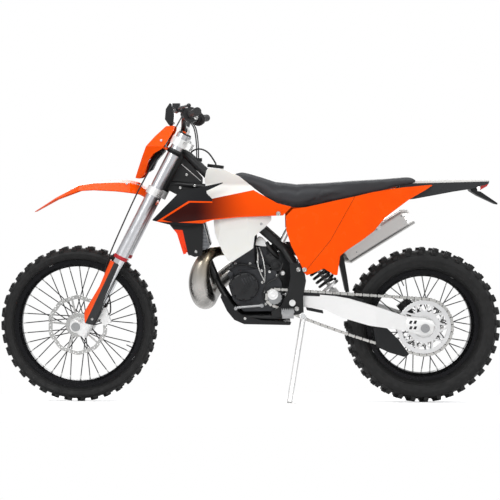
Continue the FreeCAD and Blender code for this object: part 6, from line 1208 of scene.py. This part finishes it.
# %% Model a flanged bolt and a socket screw
def flange_bolt(across, head):
    """A hex head across its flats in metres, on a flange, standing on Z = 0."""
    flange = rod_model(across * 0.78, head * 0.3, 16, 0.94, 0.0003)
    hexagon = rod_model(across / math.sqrt(3), head, 6, 1.0, 0)
    hexagon.data.transform(Matrix.Translation((0, 0, head * 0.25)))
    edit_faces(hexagon, lambda centre, normal: normal.z > 0.9)
    bpy.ops.mesh.inset(thickness=across * 0.14)
    bpy.ops.transform.translate(value=(0, 0, -head * 0.16))
    leave_edit()
    bevel_sharp(hexagon, across * 0.035, 1)
    return joined([flange, hexagon], "flange_bolt")


small_bolt, large_bolt = flange_bolt(0.008, 0.005), flange_bolt(0.013, 0.008)
socket_screw = recess(rod_model(0.0055, 0.005, 18, 0.96, 0.0004), 0.00231, 0.0025)


def bolts_at(model, name, places, finish, body):
    """Sets bolts on parts; a place is a part, a pixel across and down, and whether the far side has one."""
    spots = []
    for part, across_px, down_px, both in places:
        spots += feet_on(part, across_px, down_px) if both else [foot_on(part, across_px, down_px)]
    spots = [spot for spot in spots if spot]
    set_out(model, name, spots, finish, body)
    print(name + ":", len(spots))


panel_bolts = (
    ("side_panels", 305.0, 268.8, True), ("frame_spine", 299.0, 268.5, True),
    ("frame_spine", 297.0, 308.0, True), ("frame_cradle", 279.0, 313.5, True),
    ("shrouds", 279.0, 212.4, True),
)
cover_bolts = [("engine_covers", *pixel, False) for pixel in (
    (233.6, 277.2), (240.0, 273.2), (249.4, 273.3), (256.0, 279.2), (257.0, 288.6), (252.0, 296.6),
    (243.6, 298.9), (235.0, 295.0), (231.9, 286.4),
)]
engine_bolts = (
    ("crankcase", 262.0, 269.5, False), ("crankcase", 270.0, 270.5, False),
    ("crankcase", 277.5, 274.5, False), ("crankcase", 266.0, 303.0, False),
    ("crankcase", 262.5, 281.0, False), ("crankcase", 264.0, 290.5, False),
    ("cylinder", 236.0, 262.5, False), ("cylinder", 250.5, 262.3, False), ("cylinder", 250.0, 242.0, False),
    ("radiator_covers", 181.0, 219.0, True), ("radiator_covers", 199.0, 219.5, True),
    ("radiator_covers", 196.5, 250.0, True), ("skid_plate", 245.0, 317.5, True),
    ("skid_plate", 268.0, 319.0, True), ("fuel_tank", 262.0, 222.5, True),
    ("frame_spine", 188.0, 173.0, True), ("frame_spine", 196.0, 184.0, True),
    ("frame_spine", 181.5, 186.0, True),
)
clamp_screws = (
    ("upper_clamp", 186.0, 141.5, True), ("lower_clamp", 161.5, 188.0, True),
    ("lower_clamp", 158.8, 193.0, True), ("fork_feet", 84.5, 318.5, True), ("fork_feet", 88.0, 312.5, True),
    ("front_fender", 128.0, 181.5, True), ("front_fender", 139.0, 182.5, True),
    ("fork_guards", 116.0, 259.5, True), ("fork_guards", 91.0, 317.0, True),
    ("headlight_mask", 163.0, 139.0, True),
)
bolts_at(large_bolt, "panel_and_frame_bolts", panel_bolts, brake_steel, "chassis")
bolts_at(small_bolt, "cover_bolts", cover_bolts, spoke_steel, "chassis")
bolts_at(small_bolt, "engine_bolts", engine_bolts, brake_steel, "chassis")
bolts_at(socket_screw, "clamp_screws", clamp_screws, brake_steel, "steering")

# %% [markdown]
# ## Plates cut to an outline
#
# Many small parts are cut or cast to an outline that the photograph shows: a disc with as many corners as the
# outline is filled, its corners are moved onto the outline, and it is extruded sideways and rounded.

# %% Extrude an outline
def plate(name, outline, near, far, rounding=0.0008):
    """A flat piece with an outline in the photograph's pixels, between two distances left of the middle."""
    bpy.ops.object.select_all(action="DESELECT")
    bpy.ops.mesh.primitive_circle_add(vertices=len(outline), radius=1, fill_type="NGON")
    piece = bpy.context.object
    piece.name = name
    for corner, px in zip(piece.data.vertices, outline):
        corner.co = seen_at(*px, near)
    only(piece)
    bpy.ops.object.mode_set(mode="EDIT")
    bpy.ops.mesh.select_all(action="SELECT")
    bpy.ops.mesh.extrude_region_move(TRANSFORM_OT_translate={"value": left * (far - near)})
    bpy.ops.mesh.select_all(action="SELECT")
    bpy.ops.mesh.normals_make_consistent(inside=False)
    leave_edit()
    if rounding:
        bevel_sharp(piece, rounding)
    return piece


def pair_of(piece, name):
    """The piece and its mirror image on the other side, as one piece."""
    twin = copy_of(piece)
    middle = place(0, 0, 0)
    for point in twin.data.vertices:
        point.co = point.co - left * 2 * (point.co - middle).dot(left)
    twin.data.flip_normals()
    return joined([piece, twin], name)


cleat_outline = [(281.6, 312.5)]
for tooth in range(6):
    cleat_outline += [(281.8 + tooth * 2.1, 307.0), (282.7 + tooth * 2.1, 309.6)]
cleat_outline += [(294.0, 307.2), (294.6, 311.5), (291.5, 316.2), (286.5, 316.8), (283.0, 315.5)]
peg_end = plate("peg_end", cleat_outline, 0.2315, 0.2365, 0.0004)
finished(pair_of(peg_end, "footpeg_cleats"), bare_steel, "chassis")

axle_block = plate("axle_block", (
    (407.5, 318.8), (432.0, 320.5), (435.5, 325.0), (432.5, 331.0), (407.5, 330.8), (405.5, 325.0),
), 0.1195, 0.1262, 0.0012)
finished(pair_of(axle_block, "axle_adjuster_blocks"), cast_alloy, "chassis")
# Dark plates stand for the slots in the axle blocks: painted shade in the slots.
upper_slot_shade = ((0, 320.6), (2.6, 320.8), (1.4, 324.0), (-1.2, 323.8))
lower_slot_shade = ((0, 326.4), (2.6, 326.6), (1.4, 329.6), (-1.2, 329.4))
slot_shades = [
    plate("mark", [(start + x, y) for x, y in mark], 0.1258, 0.1266, 0.0002)
    for mark in (upper_slot_shade, lower_slot_shade) for start in (410.5, 415.0)]
finished(pair_of(joined(slot_shades, "slot_shades"), "axle_slot_shades"), frame_coat, "chassis")
slider_outlines = (
    ("chain_slider_top", (
        (298.0, 290.6), (318.0, 292.0), (336.0, 293.4), (350.0, 295.0), (364.0, 299.0),
        (364.0, 303.2), (350.0, 299.2), (336.0, 296.8), (318.0, 295.2), (298.0, 294.2))),
    ("chain_slider_low", ((306.0, 306.0), (323.0, 309.6), (323.5, 312.6), (307.0, 309.2))),
)
for name, outline in slider_outlines:
    finished(plate(name, outline, 0.0800, 0.0960, 0.0012), black_plastic, "chassis")
print("plates made")

# %% [markdown]
# ## Engine dress
#
# Between the frame's spars sit the carburettor, the starter, a casting for the coolant and a few hoses.
# They are turned or cast pieces, so each starts from a cylinder or an outline, and the hoses are splines
# with a round bevel.

# %% Turned pieces and hoses round the engine
def turned(name, across_px, down_px, near, far, radius, steps, finish, sides=40):
    """A turned piece along the axle; a step at its left end is a share of the radius and a rise."""
    bpy.ops.object.select_all(action="DESELECT")
    length = far - near
    bpy.ops.mesh.primitive_cylinder_add(
        vertices=sides, radius=radius, depth=length, location=(0, 0, length / 2))
    piece = bpy.context.object
    bpy.ops.object.transform_apply(location=True)
    for inward, rise in steps:
        recess(piece, inward * radius, -rise)
    bevel_sharp(piece, 0.0006)
    piece.data.transform(axes_at(seen_at(across_px, down_px, near), left, forward))
    piece.name = name
    finished(piece, finish, "chassis")


def line_between(name, route, radius, finish=hose_rubber):
    """A round hose or cable through pixels, each with its own distance left of the middle."""
    made = tube_along(name, [seen_at(*spot) for spot in route], radius, 8, finish)
    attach(made, "chassis")


cap_steps = ((0.16, -0.0025), (0.3, 0.003), (0.25, -0.0015))
turned("sprocket_cover_cap", 273.2, 293.2, 0.086, 0.1015, 0.0225, cap_steps, cast_alloy)
motor_steps = ((0.12, -0.002), (0.35, 0.0015))
turned("starter_motor", 276.5, 262.5, -0.045, 0.062, 0.0245, motor_steps, cover_paint)
drive_steps = ((0.15, 0.002), (0.4, -0.002))
turned("starter_drive", 266.0, 267.0, 0.030, 0.070, 0.019, drive_steps, cover_paint)
turned(
    "crankcase_breather_cap", 283.0, 271.5, 0.050, 0.078, 0.0095, ((0.2, 0.002),),
    cast_alloy, sides=24)
engine_plates = (
    ("carburettor", engine_alloy, "dark_aluminium", -0.026, 0.034, 0.003, (
        (258.5, 242.5), (268.0, 241.5), (270.5, 246.0), (270.0, 256.5), (266.5, 262.0), (259.5, 262.0),
        (256.0, 256.0), (255.5, 247.0))),
    ("float_bowl", engine_alloy, "dark_aluminium", -0.020, 0.0365, 0.002, (
        (257.8, 255.5), (268.8, 255.0), (267.8, 264.5), (264.5, 267.5), (260.0, 267.0), (257.8, 263.0))),
    ("coolant_casting", cast_alloy, "cast_aluminium", 0.040, 0.062, 0.004, (
        (255.8, 243.5), (256.6, 238.0), (259.8, 234.6), (263.0, 236.0), (267.4, 240.8), (267.4, 245.0),
        (262.0, 244.6))),
    ("gearbox_rear_casting", cover_paint, "black_engine", -0.046, 0.040, 0.003, (
        (262.0, 256.0), (272.0, 249.0), (283.0, 250.0), (290.0, 262.0), (291.5, 276.0), (288.0, 289.0),
        (281.0, 292.0), (274.0, 268.0))),
)
for name, finish, slot, near, far, rounding, outline in engine_plates:
    finished(plate(name, outline, near, far, rounding), finish, "chassis")
line_between("coolant_hose", (
    (266.5, 241.0, 0.052), (270.5, 247.5, 0.055), (275.0, 252.0, 0.045), (279.0, 257.0, 0.030)), 0.011)
line_between("overflow_hose_front", (
    (257.0, 246.0, 0.052), (258.5, 252.0, 0.066), (258.0, 264.0, 0.074), (261.0, 273.0, 0.082),
    (264.5, 279.5, 0.084)), 0.0032, brake_steel)
line_between("overflow_hose_rear", (
    (259.5, 246.0, 0.050), (262.5, 252.5, 0.064), (264.3, 262.0, 0.076), (265.8, 272.0, 0.083),
    (264.8, 281.5, 0.083)), 0.0032, brake_steel)
line_between("clutch_line", (
    (283.5, 262.0, 0.085), (279.0, 277.5, 0.092), (271.0, 279.5, 0.094), (265.0, 285.5, 0.092),
    (262.5, 293.5, 0.088), (264.0, 299.5, 0.084)), 0.0036)
line_between("loom", (
    (228.8, 268.5, 0.072), (233.5, 264.8, 0.076), (241.0, 262.5, 0.074), (251.0, 264.5, 0.076),
    (257.5, 267.0, 0.070)), 0.004)
# Raised ribs on the ignition cover take the lighter grey alloy finish, not the cover's own: a painted highlight
# along each rib.
highlit_cover_ribs = []
for k in range(5):
    x, y = 241.5 + 2.7 * k, 277.2 - 0.5 * k
    rib_outline = ((x, y), (x + 0.8, y - 0.3), (x + 4.6, y + 6.9), (x + 3.8, y + 7.2))
    highlit_cover_ribs.append(plate("rib", rib_outline, 0.1092, 0.1112, 0.0004))
finished(joined(highlit_cover_ribs, "ignition_cover_ribs_highlit"), engine_alloy, "chassis")
print("engine dressed")

# %% [markdown]
# ## Fork and front end
#
# Each fork leg ends in a red dust wiper, where the polished tube slides out, and the mask is held by black
# rubber straps. Caps close the legs on top, with a knob for the damping.

# %% Rings, straps, caps and bar ends
leg_ahead = 0.022
leg_sides = (0.098, -0.098)


def on_both_legs(rise):
    """Places across both fork legs, that far up along them."""
    return [axes_at(fork_spot(rise, leg_ahead, side), fork_up, fork_ahead) for side in leg_sides]


def hoop(radius, wall, height, rounding=0.0015):
    """A ring standing on Z = 0, its outer edges rounded."""
    bpy.ops.object.select_all(action="DESELECT")
    bpy.ops.mesh.primitive_cylinder_add(vertices=48, radius=radius, depth=height, location=(0, 0, height / 2))
    ring = bpy.context.object
    bpy.ops.object.transform_apply(location=True)
    edit_faces(ring, lambda centre, normal: abs(normal.z) > 0.9)
    bpy.ops.mesh.inset(thickness=wall)
    bpy.ops.mesh.bridge_edge_loops()
    leave_edit()
    bevel_sharp(ring, rounding)
    return ring


wiper = hoop(0.0312, 0.0060, 0.016, 0.002)
strap = hoop(0.0292, 0.0034, 0.022, 0.001)
cap = recess(rod_model(0.0225, 0.007, 40, 0.93, 0.0008), 0.007, 0.002)
knob = rod_model(0.0085, 0.010, 16, 0.85, 0.0008)
for model, name, rise, finish, slot in (
    (wiper, "fork_wipers_red", 0.343, red_rubber, "grip_rubber"),
    (strap, "mask_straps", 0.846, soft_rubber, "grip_rubber"),
    (cap, "fork_caps", 0.9395, frame_coat, "black_metal"),
    (knob, "damping_knobs", 0.9435, orange_plastic, "orange_plastic"),
):
    set_out(model, name, on_both_legs(rise), finish, "steering")
bar_plug = recess(rod_model(0.0095, 0.0018, 24, 0.92, 0.0004), 0.0045, 0.001)
set_out(bar_plug, "bar_end_plugs", feet_on("grips", 197.8, 116.4), brake_steel, "steering")
put_away(wiper, strap, cap, knob, bar_plug)
print("fork dressed")

# %% [markdown]
# ## Silencer, axle and valves
#
# The silencer is a brushed sleeve round packing wool, closed by caps that are riveted on, so a few small
# rivets show at each end. The rear axle is a hollow tube, its open end painted nearly black as the shade
# inside the hollow, and a valve stem stands in each rim.

# %% Rivets, axle bores, valve stems and the instrument's glass
rivet = rod_model(0.0034, 0.0016, 12, 0.7, 0.0003)
rivet_pixels = ((401.6, 215.6), (406.6, 220.6), (404.6, 216.5), (352.5, 244.0), (357.0, 251.5))
rivet_spots = [spot for pixel in rivet_pixels for spot in feet_on("silencer", *pixel)]
set_out(rivet, "silencer_rivets", rivet_spots, bare_steel, "chassis")
print("silencer rivets:", len(rivet_spots))
# The axle's open end is nearly black: painted shade inside the hollow.
bore_shade = recess(rod_model(0.0075, 0.0012, 24, 0.96, 0.0002), 0.002, 0.0008)
set_out(bore_shade, "rear_axle_bore_shade", feet_on("rear_axle", 422.0, 324.6), oiled_steel_and_bore_shade, "chassis")
stem = rod_model(0.0028, 0.030, 10, 0.8, 0)
for wheel, axle, stem_foot, turn_deg in (("front", front_axle, 0.254, 205), ("rear", rear_axle, 0.216, 65)):
    turn = math.radians(turn_deg)
    outward = forward * math.cos(turn) + up * math.sin(turn)
    spot = axes_at(axle + outward * stem_foot, -outward)
    set_out(stem, wheel + "_valve_stem", [spot], frame_coat, wheel + "_wheel")
glass_outline = ((176.2, 111.0), (177.4, 111.2), (176.9, 120.8), (175.8, 120.6))
glass = plate("instrument_glass", glass_outline, -0.042, 0.042, 0.0005)
finished(glass, dial_glass, "steering")
put_away(rivet, bore_shade, stem, small_bolt, large_bolt, socket_screw)

# %% [markdown]
# ## Cables to the bars
#
# Two cables run from the controls on the bars down beside the frame's top. Their upper ends turn with the
# bars and their lower ends stay with the frame. Each is made a mesh.

# %% Two cables from the bars
def cable_mesh(name, points, radius, finish):
    """A cable as a mesh, which can be blended between two bodies or follow a surface."""
    only(tube_along(name, points, radius, 10, finish))
    bpy.ops.object.convert(target="MESH")
    made = bpy.context.object
    made.data.materials.clear()
    made.data.materials.append(finish)
    return made


cable_route = (
    (199.0, 159.0, 0.030), (199.2, 152.0, 0.030), (199.0, 142.0, 0.028),
    (198.0, 132.0, 0.026), (196.0, 124.0, 0.026), (191.5, 119.5, 0.026),
)
bend_start, bend_end = seen_at(199.0, 152.0, 0.0), seen_at(195.0, 123.0, 0.0)
for name, shift in (("throttle_cable", -0.9), ("clutch_cable", 0.9)):
    points = [seen_at(across + shift, down, side) for across, down, side in cable_route]
    cable = cable_mesh(name, points, 0.0028, hose_rubber)
    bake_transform(cable)

# %% The lamp's shell behind the mask, and a painted highlight on the frame's head
shell = plate("lamp_shell", (
    (161.5, 147.5), (168.5, 141.5), (168.0, 149.5), (160.0, 158.5), (155.5, 167.5), (151.0, 170.5),
    (153.5, 159.5),
), -0.056, 0.056, 0.004)
finished(shell, black_plastic, "steering")
# A bright alloy band along the upper edge of the frame's head paints the highlight on that edge.
highlight_pixels = ((183.0, 162.5), (188.0, 166.8), (193.0, 171.2), (198.0, 175.6), (202.0, 179.3))
highlight_feet = [foot_on("frame_spine", *pixel) for pixel in highlight_pixels]
highlight_points = [spot.translation for spot in highlight_feet if spot]
print("edge strip points:", len(highlight_points))
highlight_strip = cable_mesh("gusset_edge_highlight_strip", highlight_points, 0.0016, cast_alloy)
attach(highlight_strip, "chassis")
